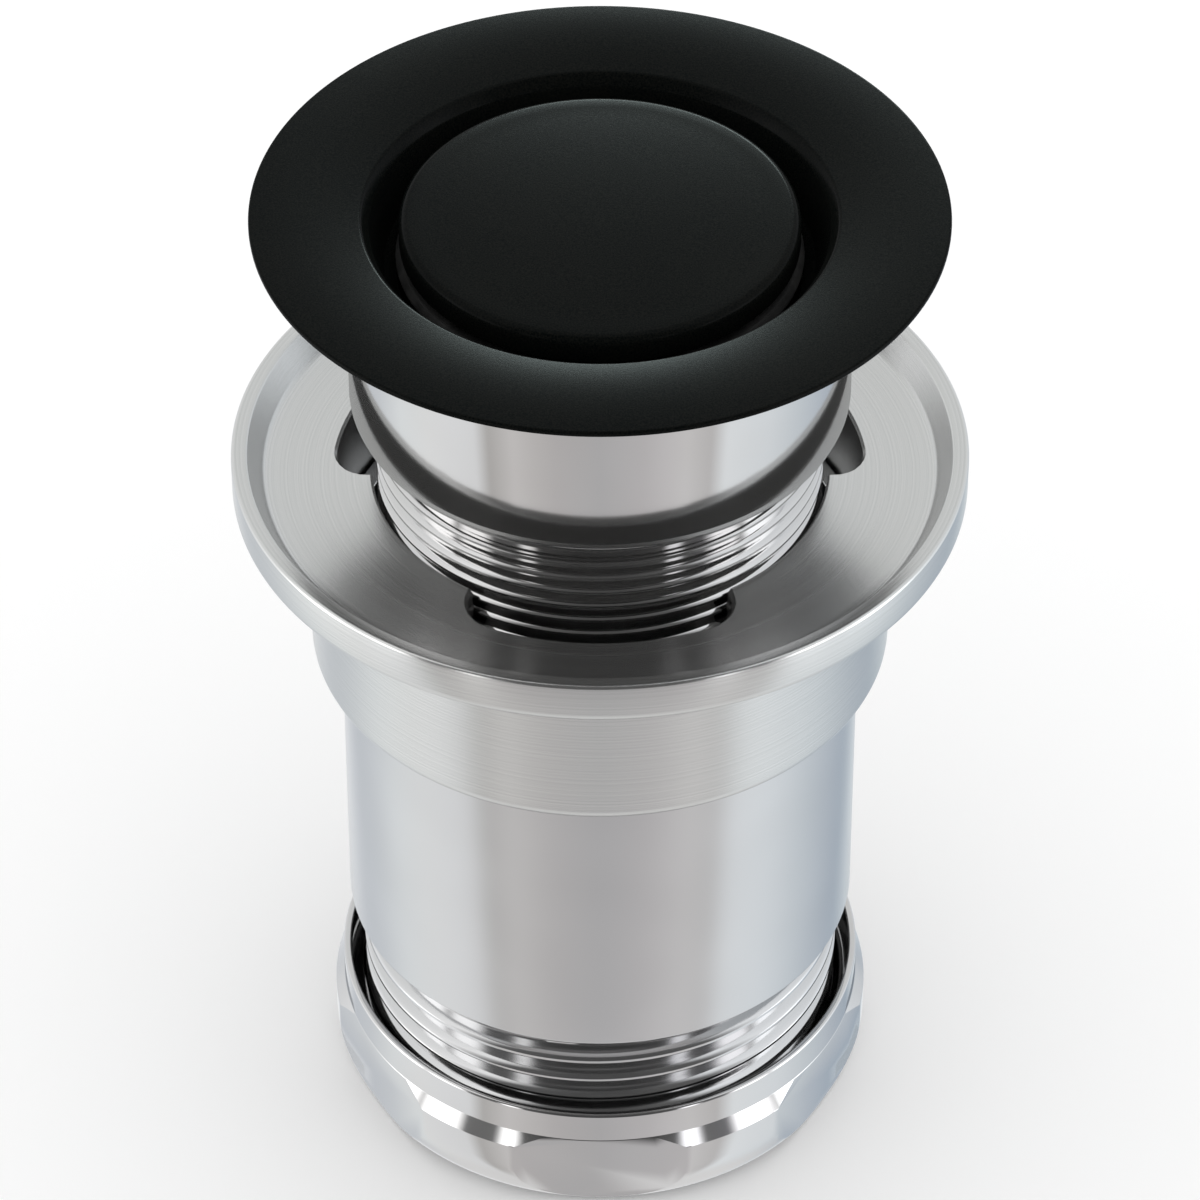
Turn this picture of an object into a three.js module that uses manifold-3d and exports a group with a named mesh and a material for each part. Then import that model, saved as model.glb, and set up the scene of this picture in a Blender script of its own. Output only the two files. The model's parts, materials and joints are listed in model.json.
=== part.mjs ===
// A pop-up waste for a wash basin, in millimetres, +Z up.
// The origin is on the axis, at the bottom face of the slip nut.
// From the top: a black flange with a click plug in its funnel, a polished threaded neck, a dished
// lower flange with overflow slots, a tail tube and a slip nut with its two sealing rings.
import * as THREE from "three";
import { mergeVertices } from "three/addons/utils/BufferGeometryUtils.js";
import Module from "manifold-3d";

const wasm = await Module();
wasm.setup();

// ---- Clearances ----
const GAP = 0.3; // between two pieces that rest on or in each other
const THREAD_CLEARANCE = 0.35; // from a male crest to the plain bore that stands for a female thread
const SLIDE_CLEARANCE = 0.4; // round a piece that slides
const FUSE = 0.6; // how far two solids that become one piece run into each other
const EDGE_BREAK = 0.2; // small chamfer on a turned edge
const CUT_PAST = 1; // how far a cutter runs past the face it opens

// ---- Slip nut and its rings ----
const NUT_ACROSS_FLATS = 44.9;
const NUT_TURNED_DIAMETER = 47.4; // the hexagon's corners are turned down to this
const NUT_BODY_HEIGHT = 8.1;
const NUT_TOP_CHAMFER = 1.3;
const NUT_FOOT_ROUND = 2.6; // how far the rounded edge comes in at the foot
const NUT_FOOT_RISE = 4.4; // and how far it reaches up
const COLLAR_DIAMETER = 45.8;
const COLLAR_HEIGHT = 3.0;
const COLLAR_MOUTH_DIAMETER = 44.5;
const COLLAR_MOUTH_DEPTH = 1.8;
const NUT_LIP = 1.5;
const NUT_LIP_BORE = 34;
const FRICTION_RING_HEIGHT = 0.8;
const COMPRESSION_RING_HEIGHT = 2.2;
const RING_BORE = 34;
const NUT_TRAVEL_LEFT = 1.0; // how far the nut still screws up before its rings are squeezed

// ---- Tail tube ----
const TUBE_DIAMETER = 44.3;
const TUBE_BORE = 41;
const TUBE_VISIBLE_LENGTH = 28.6; // between the thread and the foot of the hub
const TAIL_THREAD_DIAMETER = 42;
const TAIL_THREAD_PITCH = 2.209; // 11.5 threads per inch
const TAIL_THREAD_DEPTH = 1.25;
const TAIL_THREAD_LENGTH = 12.4;
const TAIL_WALL = 1.4; // under the thread's root
const TUBE_FOOT_CHAMFER = 0.4;
const BORE_CONE_RISE = 2; // from the foot of the tube to where its bore widens
const BORE_CONE_HEIGHT = 3;

// ---- Lower flange ----
const LIP_DIAMETER = 61.8;
const LIP_HEIGHT = 4.0;
const LIP_WIDTH = 1.3;
const DISH_DEPTH = 2.3;
const DISH_HOLLOW = 0.35; // how far the dish's floor dips between the hole and the lip
const HUB_DIAMETER = 49.3;
const HUB_HEIGHT = 16.5;
const HUB_FOOT_ROUND = 1.4;
const HUB_FILLET = 0.4; // where the hub meets the underside of the rim
const LIP_FOOT_ROUND = 1.0;
const LIP_FOOT_SLOPE = 1.4; // how far the lip's inner face slopes in to the floor
const SOCKET_DEPTH = 10.2;
const SLOT_COUNT = 3;
const SLOT_REACH = 22.3; // radius of a slot's outer edge
const SLOT_CUTTER_RADIUS = 3.2;
const SLOT_HALF_ANGLE = THREE.MathUtils.degToRad(23.6); // to the middle of its round end

// ---- Neck ----
const NECK_DIAMETER = 41.7;
const NECK_LENGTH = 18.0; // from the foot of the shoulder to the top face
const SHOULDER_ROUND = 2.3;
const NECK_BORE = 33.6;
const NECK_RIM_WALL = 1.0; // round the flange's skirt
const NECK_THREAD_DIAMETER = 37.5;
const NECK_THREAD_PITCH = 1.5;
const NECK_THREAD_DEPTH = 0.85;
const NECK_THREAD_LENGTH = 18;
const NECK_OUT = 7.4; // how far the shoulder stands above the dish's floor
const CROSS_DROP = 13.5; // from the neck's top face to the boss
const BOSS_DIAMETER = 15;
const BOSS_HEIGHT = 6.5;
const CROSS_ARM_WIDTH = 2.8;
const CROSS_ARM_HEIGHT = 4.5;

// ---- Top flange and its gasket ----
const FLANGE_DIAMETER = 57.2;
const FLANGE_PLATE = 1.1;
const FLANGE_EDGE = 0.6;
const FLANGE_FALL = 0.35; // the top face falls this far from its edge to the funnel
const FUNNEL_DIAMETER = 39;
const FUNNEL_FOOT_DIAMETER = 35.4;
const SKIRT_LENGTH = 5.1;
const SEAT_BORE = 33.2;
const SEAT_LAND = 0.4; // the straight bore under the sloping seat
const SEAT_SLOPE = 0.6; // height of the seat that the seal closes on
const FLANGE_UNDERCUT = 3; // the underside rises over this width to the thin edge
const FUNNEL_ROLL = 0.7; // the funnel starts steeply over this width
const FUNNEL_ROLL_DEPTH = 1.0;
const GASKET_DIAMETER = 51;
const GASKET_HEIGHT = 1.0;

// ---- Plug ----
const PLUG_DIAMETER = 32.8;
const PLUG_SINK = 0.45; // its top edge lies this far under the flange's top
const PLUG_CAP_HEIGHT = 2.4;
const PLUG_CAP_ROUND = 0.8;
const PLUG_DOME = 0.4;
const DOME_LINE = [[0.8, 0.36], [0.5, 0.75], [0, 1]]; // shares of the radius and of the dome's height
const PLUG_SKIRT_WALL = 1.0;
const CARRIER_DIAMETER = 29.8;
const CARRIER_GROOVE_DEPTH = 1.2;
const CARRIER_BOSS_DIAMETER = 9;
const CARRIER_BOSS_DROP = 2.4;
const CARRIER_LOWER_RIM = 0.5;
const CARRIER_ROOF = 0.8; // over the stem's end
const SEAL_OVERHANG = 0.4; // past the plug's edge
const SEAL_HEIGHT = 1.2;
const PLUG_TRAVEL = 8;

// ---- Click cartridge ----
const STEM_DIAMETER = 4.6;
const STEM_PIN_DIAMETER = 2.6;
const STEM_GROOVE_DIAMETER = 1.8;
const STEM_END = 0.6; // left below the clip's groove
const STEM_CLIP_DIAMETER = 4.4;
const STEM_CLIP_HEIGHT = 0.7;
const BARREL_DIAMETER = 10;
const BARREL_BORE = 7.8;
const BARREL_HEAD_DIAMETER = 14;
const BARREL_HEAD_HEIGHT = 2.2;
const BARREL_TOP_WALL = 0.8;
const O_RING_SECTION = 1.0;
const GUIDE_HEIGHT = 3.4;
const TOOTH_COUNT = 8;
const TOOTH_HEIGHT = 0.8;
const ROTOR_HEIGHT = 3.8;
const SPRING_TURNS = 5;
const SPRING_STEPS = 14; // straight steps in one turn
const SPRING_WIRE = 0.5;
const SPRING_DIAMETER = 6.2; // outside
const SPRING_CLOSED_LENGTH = 8.2;
const BARREL_CAP_HEIGHT = 2.6;
const BARREL_CAP_BORE = 2.4;
const BARREL_CAP_RIM = 1.0;
const LOCKNUT_ACROSS_FLATS = 15;
const LOCKNUT_HEIGHT = 3;

// ---- Levels, from the nut's bottom face up ----
const collarTop = NUT_BODY_HEIGHT + COLLAR_HEIGHT;
const frictionRingFoot = NUT_LIP + GAP;
const compressionRingFoot = frictionRingFoot + FRICTION_RING_HEIGHT + GAP;
const compressionRingTop = compressionRingFoot + COMPRESSION_RING_HEIGHT;
const tailEnd = compressionRingTop + NUT_TRAVEL_LEFT + GAP;
const tubeFoot = tailEnd + TAIL_THREAD_LENGTH;
const hubFoot = tubeFoot + TUBE_VISIBLE_LENGTH;
const socketTop = hubFoot + SOCKET_DEPTH;
const hubTop = hubFoot + HUB_HEIGHT;
const lipTop = hubTop + LIP_HEIGHT;
const dishFloor = lipTop - DISH_DEPTH;
const shoulderFoot = dishFloor + NECK_OUT;
const neckTop = shoulderFoot + NECK_LENGTH;
const neckFoot = shoulderFoot - NECK_THREAD_LENGTH;
const flangeUnderside = neckTop + GAP;
const flangeTop = flangeUnderside + FLANGE_PLATE;
const skirtFoot = flangeUnderside - SKIRT_LENGTH;
const bossTop = neckTop - CROSS_DROP;
const bossFoot = bossTop - BOSS_HEIGHT;
const plugEdgeTop = flangeTop - PLUG_SINK;
const plugCapFoot = plugEdgeTop - PLUG_CAP_HEIGHT;
const seatTop = skirtFoot + SEAT_LAND + SEAT_SLOPE;
const sealFoot = seatTop + GAP;
const barrelHeadFoot = bossTop + GAP;
const barrelTop = barrelHeadFoot + BARREL_HEAD_HEIGHT;
const guideTop = barrelHeadFoot - GAP;
const guideFoot = guideTop - GUIDE_HEIGHT;
const rotorTop = guideFoot - PLUG_TRAVEL - GAP;
const rotorFoot = rotorTop - ROTOR_HEIGHT;
const springTop = rotorFoot - GAP;
const springFoot = springTop - SPRING_CLOSED_LENGTH;
const barrelCapTop = springFoot - GAP;
const barrelFoot = barrelCapTop - BARREL_CAP_HEIGHT;

// ---- Finishes ----
const finish = (color, roughness, metalness) =>
  new THREE.MeshStandardMaterial({ color, roughness, metalness });
const blackCoat = finish(0x1b1d1e, 0.55, 0.2);
const polished = finish(0xc9c8ca, 0.12, 1);
const turnedSatin = finish(0xc4c5c3, 0.3, 1);
const satinTube = finish(0xcfd0d1, 0.35, 1);
const blackRubber = finish(0x222222, 0.85, 0);
const whitePlastic = finish(0xe8e6df, 0.5, 0);
const greyPlastic = finish(0x8b8d8c, 0.5, 0);
const springSteel = finish(0xa9abab, 0.3, 1);

// ---- Solids from geometry, and back ----

/** The closed solid inside a three.js geometry whose faces meet edge to edge. */
function solidOf(geometry) {
  const bare = geometry.clone();
  bare.deleteAttribute("normal");
  bare.deleteAttribute("uv");
  const merged = mergeVertices(bare, 1e-4);
  const index = merged.index.array;
  const kept = [];
  for (let i = 0; i < index.length; i += 3) {
    const [a, b, c] = [index[i], index[i + 1], index[i + 2]];
    if (a !== b && b !== c && c !== a) kept.push(a, b, c);
  }
  const mesh = new wasm.Mesh({
    numProp: 3,
    vertProperties: new Float32Array(merged.attributes.position.array),
    triVerts: new Uint32Array(kept),
  });
  return new wasm.Manifold(mesh);
}

/** A named mesh of one solid in one finish. */
function piece(name, solid, material) {
  const { numProp, numVert, vertProperties, triVerts } = solid.getMesh();
  const positions = new Float32Array(numVert * 3);
  for (let i = 0; i < numVert; i++) {
    positions.set(vertProperties.subarray(i * numProp, i * numProp + 3), i * 3);
  }
  const geometry = new THREE.BufferGeometry();
  geometry.setAttribute("position", new THREE.BufferAttribute(positions, 3));
  geometry.setIndex(new THREE.BufferAttribute(new Uint32Array(triVerts), 1));
  geometry.computeVertexNormals();
  const mesh = new THREE.Mesh(geometry, material);
  mesh.name = name;
  return mesh;
}

/** Points of an arc round (r, z), from one angle in degrees to another, both ends included. */
function arc(r, z, radius, from, to, steps = 5) {
  return Array.from({ length: steps + 1 }, (_, i) => {
    const angle = THREE.MathUtils.degToRad(from + ((to - from) * i) / steps);
    return [r + radius * Math.cos(angle), z + radius * Math.sin(angle)];
  });
}

const TURNED_SIDES = 40;
const SMALL_SIDES = 24; // on the cartridge's small pieces

/** A solid turned about Z from a closed outline of [r, z] points. */
function turned(outline, segments = TURNED_SIDES) {
  const area = outline.reduce((sum, [r, z], i) => {
    const [nextR, nextZ] = outline[(i + 1) % outline.length];
    return sum + r * nextZ - nextR * z;
  }, 0);
  const ordered = area > 0 ? outline : [...outline].reverse();
  const points = [...ordered, ordered[0]].map(([r, z]) => new THREE.Vector2(r, z));
  return solidOf(new THREE.LatheGeometry(points, segments).rotateX(Math.PI / 2));
}

/** A plain ring, or a disc where the inner radius is 0. */
const ring = (inner, outer, foot, top, segments) =>
  turned([[inner, foot], [outer, foot], [outer, top], [inner, top]], segments);

/** A hexagonal prism about Z with a flat towards -Y. */
function hexagon(acrossFlats, foot, top) {
  const corner = acrossFlats / Math.sqrt(3);
  const prism = new THREE.CylinderGeometry(corner, corner, top - foot, 6);
  prism.rotateX(Math.PI / 2).rotateZ(Math.PI / 2).translate(0, 0, (foot + top) / 2);
  return solidOf(prism);
}

const THREAD_STEPS = 16; // straight steps in one turn of a thread
const RIDGE_SUNK = 0.25; // how far a ridge reaches into its core
const RIDGE_ROOT_SHARE = 0.44; // half the ridge's width at its root, as a share of the pitch
const RIDGE_CREST_SHARE = 0.09;

/** A right-hand thread's ridge: a long bar of tapering section, wound up a cylinder. */
function threadRidge(crestRadius, depth, pitch, foot, top) {
  const steps = Math.ceil(((top - foot) / pitch + 2) * THREAD_STEPS);
  const bar = new THREE.BoxGeometry(1, 1, 1, steps, 1, 1);
  const position = bar.attributes.position;
  for (let i = 0; i < position.count; i++) {
    const turn = Math.round((position.getX(i) + 0.5) * steps) / THREAD_STEPS;
    const angle = turn * 2 * Math.PI;
    const outer = position.getZ(i) > 0;
    const radius = outer ? crestRadius : crestRadius - depth - RIDGE_SUNK;
    const half = pitch * (outer ? RIDGE_CREST_SHARE : RIDGE_ROOT_SHARE);
    const side = Math.sign(position.getY(i));
    const z = foot - pitch + turn * pitch + side * half;
    position.setXYZ(i, radius * Math.cos(angle), radius * Math.sin(angle), z);
  }
  return solidOf(bar);
}

/** A solid core with a thread wound on it, its ends chamfered, still without its bore. */
function threadedRod(crestRadius, depth, pitch, foot, top) {
  const root = crestRadius - depth;
  const beyond = crestRadius + EDGE_BREAK;
  const envelope = turned([
    [0, foot], [root, foot], [beyond, foot + depth], [beyond, top - depth], [root, top], [0, top],
  ], THREAD_STEPS);
  return turned([[0, foot], [root, foot], [root, top], [0, top]], THREAD_STEPS)
    .add(threadRidge(crestRadius, depth, pitch, foot, top))
    .intersect(envelope);
}

// ---- Slip nut and rings ----

function slipNut() {
  const turnedRadius = NUT_TURNED_DIAMETER / 2;
  const collarRadius = COLLAR_DIAMETER / 2;
  const footRadius = turnedRadius - NUT_FOOT_ROUND;
  const bodyTop = NUT_BODY_HEIGHT - EDGE_BREAK;
  const blank = turned([
    [0, 0],
    ...arc(footRadius, 0, NUT_FOOT_ROUND, -90, 0, 4)
      .map(([r, z]) => [r, NUT_FOOT_RISE * (1 + z / NUT_FOOT_ROUND)]),
    [turnedRadius, NUT_BODY_HEIGHT - NUT_TOP_CHAMFER], [collarRadius, bodyTop], [0, bodyTop],
  ]);
  const body = blank.intersect(hexagon(NUT_ACROSS_FLATS, -CUT_PAST, NUT_BODY_HEIGHT));
  const collar = turned([
    [0, NUT_BODY_HEIGHT - FUSE], [collarRadius - 1.5 * FUSE, NUT_BODY_HEIGHT - FUSE],
    [collarRadius - EDGE_BREAK, NUT_BODY_HEIGHT], [collarRadius, NUT_BODY_HEIGHT + EDGE_BREAK],
    [collarRadius, collarTop - EDGE_BREAK], [collarRadius - EDGE_BREAK, collarTop], [0, collarTop],
  ]);
  const bore = TAIL_THREAD_DIAMETER / 2 + THREAD_CLEARANCE;
  const mouth = COLLAR_MOUTH_DIAMETER / 2;
  const mouthFoot = collarTop - COLLAR_MOUTH_DEPTH;
  const past = collarTop + CUT_PAST;
  const hollow = turned([
    [0, -CUT_PAST], [NUT_LIP_BORE / 2, -CUT_PAST], [NUT_LIP_BORE / 2, NUT_LIP], [bore, NUT_LIP],
    [bore, mouthFoot - (mouth - bore) / 2], [mouth, mouthFoot], [mouth, past], [0, past],
  ]);
  return piece("slip_nut", body.add(collar).subtract(hollow), polished);
}

const ringOuter = TAIL_THREAD_DIAMETER / 2;

function frictionRing() {
  const top = frictionRingFoot + FRICTION_RING_HEIGHT;
  return piece("friction_ring", ring(RING_BORE / 2, ringOuter, frictionRingFoot, top), whitePlastic);
}

function compressionRing() {
  const taper = COMPRESSION_RING_HEIGHT / 2;
  const outline = [
    [RING_BORE / 2, compressionRingFoot], [ringOuter, compressionRingFoot],
    [ringOuter, compressionRingTop - taper], [ringOuter - taper, compressionRingTop],
    [RING_BORE / 2, compressionRingTop],
  ];
  return piece("compression_ring", turned(outline), blackRubber);
}

// ---- Tail tube ----

function tailTube() {
  const outer = TUBE_DIAMETER / 2;
  const threadRoot = TAIL_THREAD_DIAMETER / 2 - TAIL_THREAD_DEPTH;
  const narrowBore = threadRoot - TAIL_WALL;
  const top = socketTop - GAP;
  const wall = turned([
    [0, tubeFoot - FUSE], [threadRoot, tubeFoot - FUSE], [outer - TUBE_FOOT_CHAMFER, tubeFoot],
    [outer, tubeFoot + TUBE_FOOT_CHAMFER], [outer, top], [0, top],
  ]);
  const crest = TAIL_THREAD_DIAMETER / 2;
  const thread = threadedRod(crest, TAIL_THREAD_DEPTH, TAIL_THREAD_PITCH, tailEnd, tubeFoot);
  const coneFoot = tubeFoot + BORE_CONE_RISE;
  const bore = turned([
    [0, tailEnd - CUT_PAST], [narrowBore, tailEnd - CUT_PAST], [narrowBore, coneFoot],
    [TUBE_BORE / 2, coneFoot + BORE_CONE_HEIGHT], [TUBE_BORE / 2, top + CUT_PAST], [0, top + CUT_PAST],
  ]);
  return piece("tail_tube", wall.add(thread).subtract(bore), satinTube);
}

// ---- Lower flange ----

/** One overflow slot: the path of a round cutter along an arc, cut straight down. */
function overflowSlot(middleAngle) {
  const path = SLOT_REACH - SLOT_CUTTER_RADIUS;
  const [start, end] = [middleAngle - SLOT_HALF_ANGLE, middleAngle + SLOT_HALF_ANGLE];
  const roundEnd = (angle, from) => [
    path * Math.cos(angle), path * Math.sin(angle), SLOT_CUTTER_RADIUS, from, from + Math.PI, false,
  ];
  const shape = new THREE.Shape();
  shape.absarc(0, 0, SLOT_REACH, start, end, false);
  shape.absarc(...roundEnd(end, end));
  shape.absarc(0, 0, path - SLOT_CUTTER_RADIUS, end, start, true);
  shape.absarc(...roundEnd(start, start + Math.PI));
  const depth = lipTop - socketTop + 2 * CUT_PAST;
  const cutter = new THREE.ExtrudeGeometry(shape, { depth, bevelEnabled: false, curveSegments: 5 });
  return solidOf(cutter.translate(0, 0, socketTop - CUT_PAST));
}

function lowerFlange() {
  const lip = LIP_DIAMETER / 2;
  const hub = HUB_DIAMETER / 2;
  const hole = NECK_THREAD_DIAMETER / 2 + THREAD_CLEARANCE;
  const socket = TUBE_DIAMETER / 2 + GAP;
  const lipInner = lip - LIP_WIDTH;
  const floorEdge = lipInner - LIP_FOOT_SLOPE;
  const floorMiddle = (hole + floorEdge) / 2;
  const blank = turned([
    [hole, socketTop], [socket, socketTop], [socket, hubFoot],
    ...arc(hub - HUB_FOOT_ROUND, hubFoot + HUB_FOOT_ROUND, HUB_FOOT_ROUND, -90, 0),
    [hub, hubTop - HUB_FILLET], [hub + HUB_FILLET, hubTop],
    ...arc(lip - LIP_FOOT_ROUND, hubTop + LIP_FOOT_ROUND, LIP_FOOT_ROUND, -90, 0, 4),
    [lip, lipTop - EDGE_BREAK], [lip - EDGE_BREAK, lipTop], [lipInner + EDGE_BREAK, lipTop],
    [lipInner, lipTop - EDGE_BREAK], [floorEdge, dishFloor + EDGE_BREAK],
    [floorMiddle, dishFloor - DISH_HOLLOW], [hole + EDGE_BREAK, dishFloor], [hole, dishFloor - EDGE_BREAK],
  ]);
  const slots = Array.from({ length: SLOT_COUNT }, (_, i) =>
    overflowSlot(-Math.PI / 2 + (i * 2 * Math.PI) / SLOT_COUNT));
  return piece("lower_flange", slots.reduce((body, slot) => body.subtract(slot), blank), turnedSatin);
}

// ---- Neck with its cross ----

function neckBody() {
  const outer = NECK_DIAMETER / 2;
  const root = NECK_THREAD_DIAMETER / 2 - NECK_THREAD_DEPTH;
  const rimBore = outer - NECK_RIM_WALL;
  const ledge = skirtFoot - GAP;
  const shell = turned([
    [0, shoulderFoot - FUSE], [root, shoulderFoot - FUSE], [root, shoulderFoot],
    ...arc(outer - SHOULDER_ROUND, shoulderFoot + SHOULDER_ROUND, SHOULDER_ROUND, -90, 0, 6),
    [outer, neckTop], [0, neckTop],
  ]);
  const threadTop = shoulderFoot - FUSE / 2;
  const crest = NECK_THREAD_DIAMETER / 2;
  const thread = threadedRod(crest, NECK_THREAD_DEPTH, NECK_THREAD_PITCH, neckFoot, threadTop);
  const bore = turned([
    [0, neckFoot - CUT_PAST], [NECK_BORE / 2, neckFoot - CUT_PAST], [NECK_BORE / 2, ledge],
    [rimBore, ledge], [rimBore, neckTop + CUT_PAST], [0, neckTop + CUT_PAST],
  ]);
  const armLength = NECK_BORE + FUSE;
  const armMiddle = bossFoot + BOSS_HEIGHT / 2;
  const [firstArm, secondArm] = [Math.PI / 4, (3 * Math.PI) / 4].map((turn) => {
    const arm = new THREE.BoxGeometry(armLength, CROSS_ARM_WIDTH, CROSS_ARM_HEIGHT);
    return solidOf(arm.rotateZ(turn).translate(0, 0, armMiddle));
  });
  const boss = ring(0, BOSS_DIAMETER / 2, bossFoot, bossTop, SMALL_SIDES);
  const bossBoreRadius = BARREL_DIAMETER / 2 + THREAD_CLEARANCE;
  const bossBore = ring(0, bossBoreRadius, bossFoot - CUT_PAST, bossTop + CUT_PAST, SMALL_SIDES);
  const tube = shell.add(thread).subtract(bore);
  const solid = tube.add(firstArm).add(secondArm).add(boss).subtract(bossBore);
  return piece("neck_body", solid, polished);
}

// ---- Top flange and gasket ----

function topFlange() {
  const edge = FLANGE_DIAMETER / 2;
  const skirt = NECK_DIAMETER / 2 - NECK_RIM_WALL - GAP;
  const funnel = FUNNEL_DIAMETER / 2;
  const funnelFoot = FUNNEL_FOOT_DIAMETER / 2;
  const lip = flangeTop - FLANGE_FALL;
  const edgeFoot = flangeTop - FLANGE_EDGE;
  const outline = [
    [SEAT_BORE / 2, skirtFoot], [skirt, skirtFoot], [skirt, flangeUnderside],
    [edge - FLANGE_UNDERCUT, flangeUnderside], [edge - EDGE_BREAK, edgeFoot],
    [edge, edgeFoot + EDGE_BREAK], [edge, flangeTop - EDGE_BREAK], [edge - EDGE_BREAK, flangeTop],
    [funnel + EDGE_BREAK, lip], [funnel, lip - EDGE_BREAK], [funnel - FUNNEL_ROLL, lip - FUNNEL_ROLL_DEPTH],
    [funnelFoot, seatTop], [SEAT_BORE / 2, seatTop - SEAT_SLOPE],
  ];
  return piece("top_flange", turned(outline), blackCoat);
}

function flangeGasket() {
  const top = flangeUnderside - GAP;
  const solid = ring(NECK_DIAMETER / 2 + GAP, GASKET_DIAMETER / 2, top - GASKET_HEIGHT, top);
  return piece("flange_gasket", solid, blackRubber);
}

// ---- Plug ----

function plugCap() {
  const radius = PLUG_DIAMETER / 2;
  const inner = radius - PLUG_SKIRT_WALL;
  const domeRadius = radius - PLUG_CAP_ROUND;
  const ceiling = plugEdgeTop - PLUG_CAP_HEIGHT / 2;
  const outline = [
    [0, ceiling], [inner, ceiling], [inner, plugCapFoot], [radius, plugCapFoot],
    ...arc(domeRadius, plugEdgeTop - PLUG_CAP_ROUND, PLUG_CAP_ROUND, 0, 90),
    ...DOME_LINE.map(([share, rise]) => [domeRadius * share, plugEdgeTop + PLUG_DOME * rise]),
  ];
  return piece("plug_cap", turned(outline), blackCoat);
}

const sealTop = sealFoot + SEAL_HEIGHT;
const carrierFoot = sealFoot - GAP - CARRIER_LOWER_RIM;
const carrierTop = plugEdgeTop - PLUG_CAP_HEIGHT / 2 - GAP;
const carrierBossFoot = carrierFoot - CARRIER_BOSS_DROP;
const stemTop = carrierTop - CARRIER_ROOF;

function plugCarrier() {
  const rim = CARRIER_DIAMETER / 2;
  const groove = rim - CARRIER_GROOVE_DEPTH;
  const boss = CARRIER_BOSS_DIAMETER / 2;
  const bore = STEM_DIAMETER / 2 + GAP;
  const outline = [
    [0, stemTop + GAP], [bore, stemTop + GAP], [bore, carrierBossFoot], [boss, carrierBossFoot],
    [boss, carrierFoot], [rim, carrierFoot], [rim, sealFoot - GAP], [groove, sealFoot - GAP],
    [groove, sealTop + GAP], [rim, sealTop + GAP], [rim, carrierTop], [0, carrierTop],
  ];
  return piece("plug_carrier", turned(outline), greyPlastic);
}

function plugSeal() {
  const inner = CARRIER_DIAMETER / 2 - CARRIER_GROOVE_DEPTH + GAP;
  const outer = PLUG_DIAMETER / 2 + SEAL_OVERHANG;
  return piece("plug_seal", ring(inner, outer, sealFoot, sealTop), blackRubber);
}

// ---- Click cartridge ----

function plugStem() {
  const stem = STEM_DIAMETER / 2;
  const pin = STEM_PIN_DIAMETER / 2;
  const groove = STEM_GROOVE_DIAMETER / 2;
  const clipTop = rotorFoot - GAP;
  const grooveFoot = clipTop - STEM_CLIP_HEIGHT - GAP;
  const stemFoot = grooveFoot - STEM_END;
  const outline = [
    [0, stemFoot], [pin, stemFoot], [pin, grooveFoot], [groove, grooveFoot],
    [groove, clipTop + GAP], [pin, clipTop + GAP], [pin, rotorTop + GAP], [stem, rotorTop + GAP],
    [stem, stemTop], [0, stemTop],
  ];
  return piece("plug_stem", turned(outline, SMALL_SIDES), springSteel);
}

function stemClip() {
  const top = rotorFoot - GAP;
  const inner = STEM_GROOVE_DIAMETER / 2 + GAP;
  const clip = ring(inner, STEM_CLIP_DIAMETER / 2, top - STEM_CLIP_HEIGHT, top, SMALL_SIDES);
  return piece("stem_clip", clip, springSteel);
}

function clickBarrel() {
  const outer = BARREL_DIAMETER / 2;
  const head = BARREL_HEAD_DIAMETER / 2;
  const bore = BARREL_BORE / 2;
  const stemHole = STEM_DIAMETER / 2 + SLIDE_CLEARANCE;
  const ringRoom = STEM_DIAMETER / 2 + 2 * GAP + O_RING_SECTION;
  const wallTop = barrelHeadFoot + BARREL_TOP_WALL;
  const outline = [
    [bore, barrelFoot], [outer, barrelFoot], [outer, barrelHeadFoot], [head, barrelHeadFoot],
    [head, barrelTop - EDGE_BREAK], [head - EDGE_BREAK, barrelTop], [ringRoom, barrelTop],
    [ringRoom, wallTop], [stemHole, wallTop], [stemHole, barrelHeadFoot], [bore, barrelHeadFoot],
  ];
  return piece("click_barrel", turned(outline, SMALL_SIDES), whitePlastic);
}

function stemORing() {
  const middle = STEM_DIAMETER / 2 + GAP + O_RING_SECTION / 2;
  const z = barrelHeadFoot + BARREL_TOP_WALL + GAP + O_RING_SECTION / 2;
  const torus = new THREE.TorusGeometry(middle, O_RING_SECTION / 2, 6, SMALL_SIDES);
  return piece("stem_o_ring", solidOf(torus.translate(0, 0, z)), blackRubber);
}

/** Notches cut into the end of a sleeve, leaving a ring of pointed teeth. */
function toothNotches(level, radius) {
  const length = radius + CUT_PAST;
  return Array.from({ length: TOOTH_COUNT }, (_, i) => {
    const notch = new THREE.CylinderGeometry(TOOTH_HEIGHT, TOOTH_HEIGHT, length, 4);
    notch.rotateZ(-Math.PI / 2).translate(length / 2, 0, level);
    return solidOf(notch.rotateZ((i * 2 * Math.PI) / TOOTH_COUNT));
  });
}

function clickGuide() {
  const inner = STEM_DIAMETER / 2 + SLIDE_CLEARANCE;
  const sleeve = ring(inner, BARREL_BORE / 2 - GAP, guideFoot, guideTop, SMALL_SIDES);
  const notches = toothNotches(guideFoot, BARREL_BORE / 2);
  const toothed = notches.reduce((body, notch) => body.subtract(notch), sleeve);
  return piece("click_guide", toothed, greyPlastic);
}

function clickRotor() {
  const bore = STEM_PIN_DIAMETER / 2 + GAP;
  const sleeve = ring(bore, BARREL_BORE / 2 - SLIDE_CLEARANCE, rotorFoot, rotorTop, SMALL_SIDES);
  const notches = toothNotches(rotorTop, BARREL_BORE / 2);
  const toothed = notches.reduce((body, notch) => body.subtract(notch), sleeve);
  return piece("click_rotor", toothed, whitePlastic);
}

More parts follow.
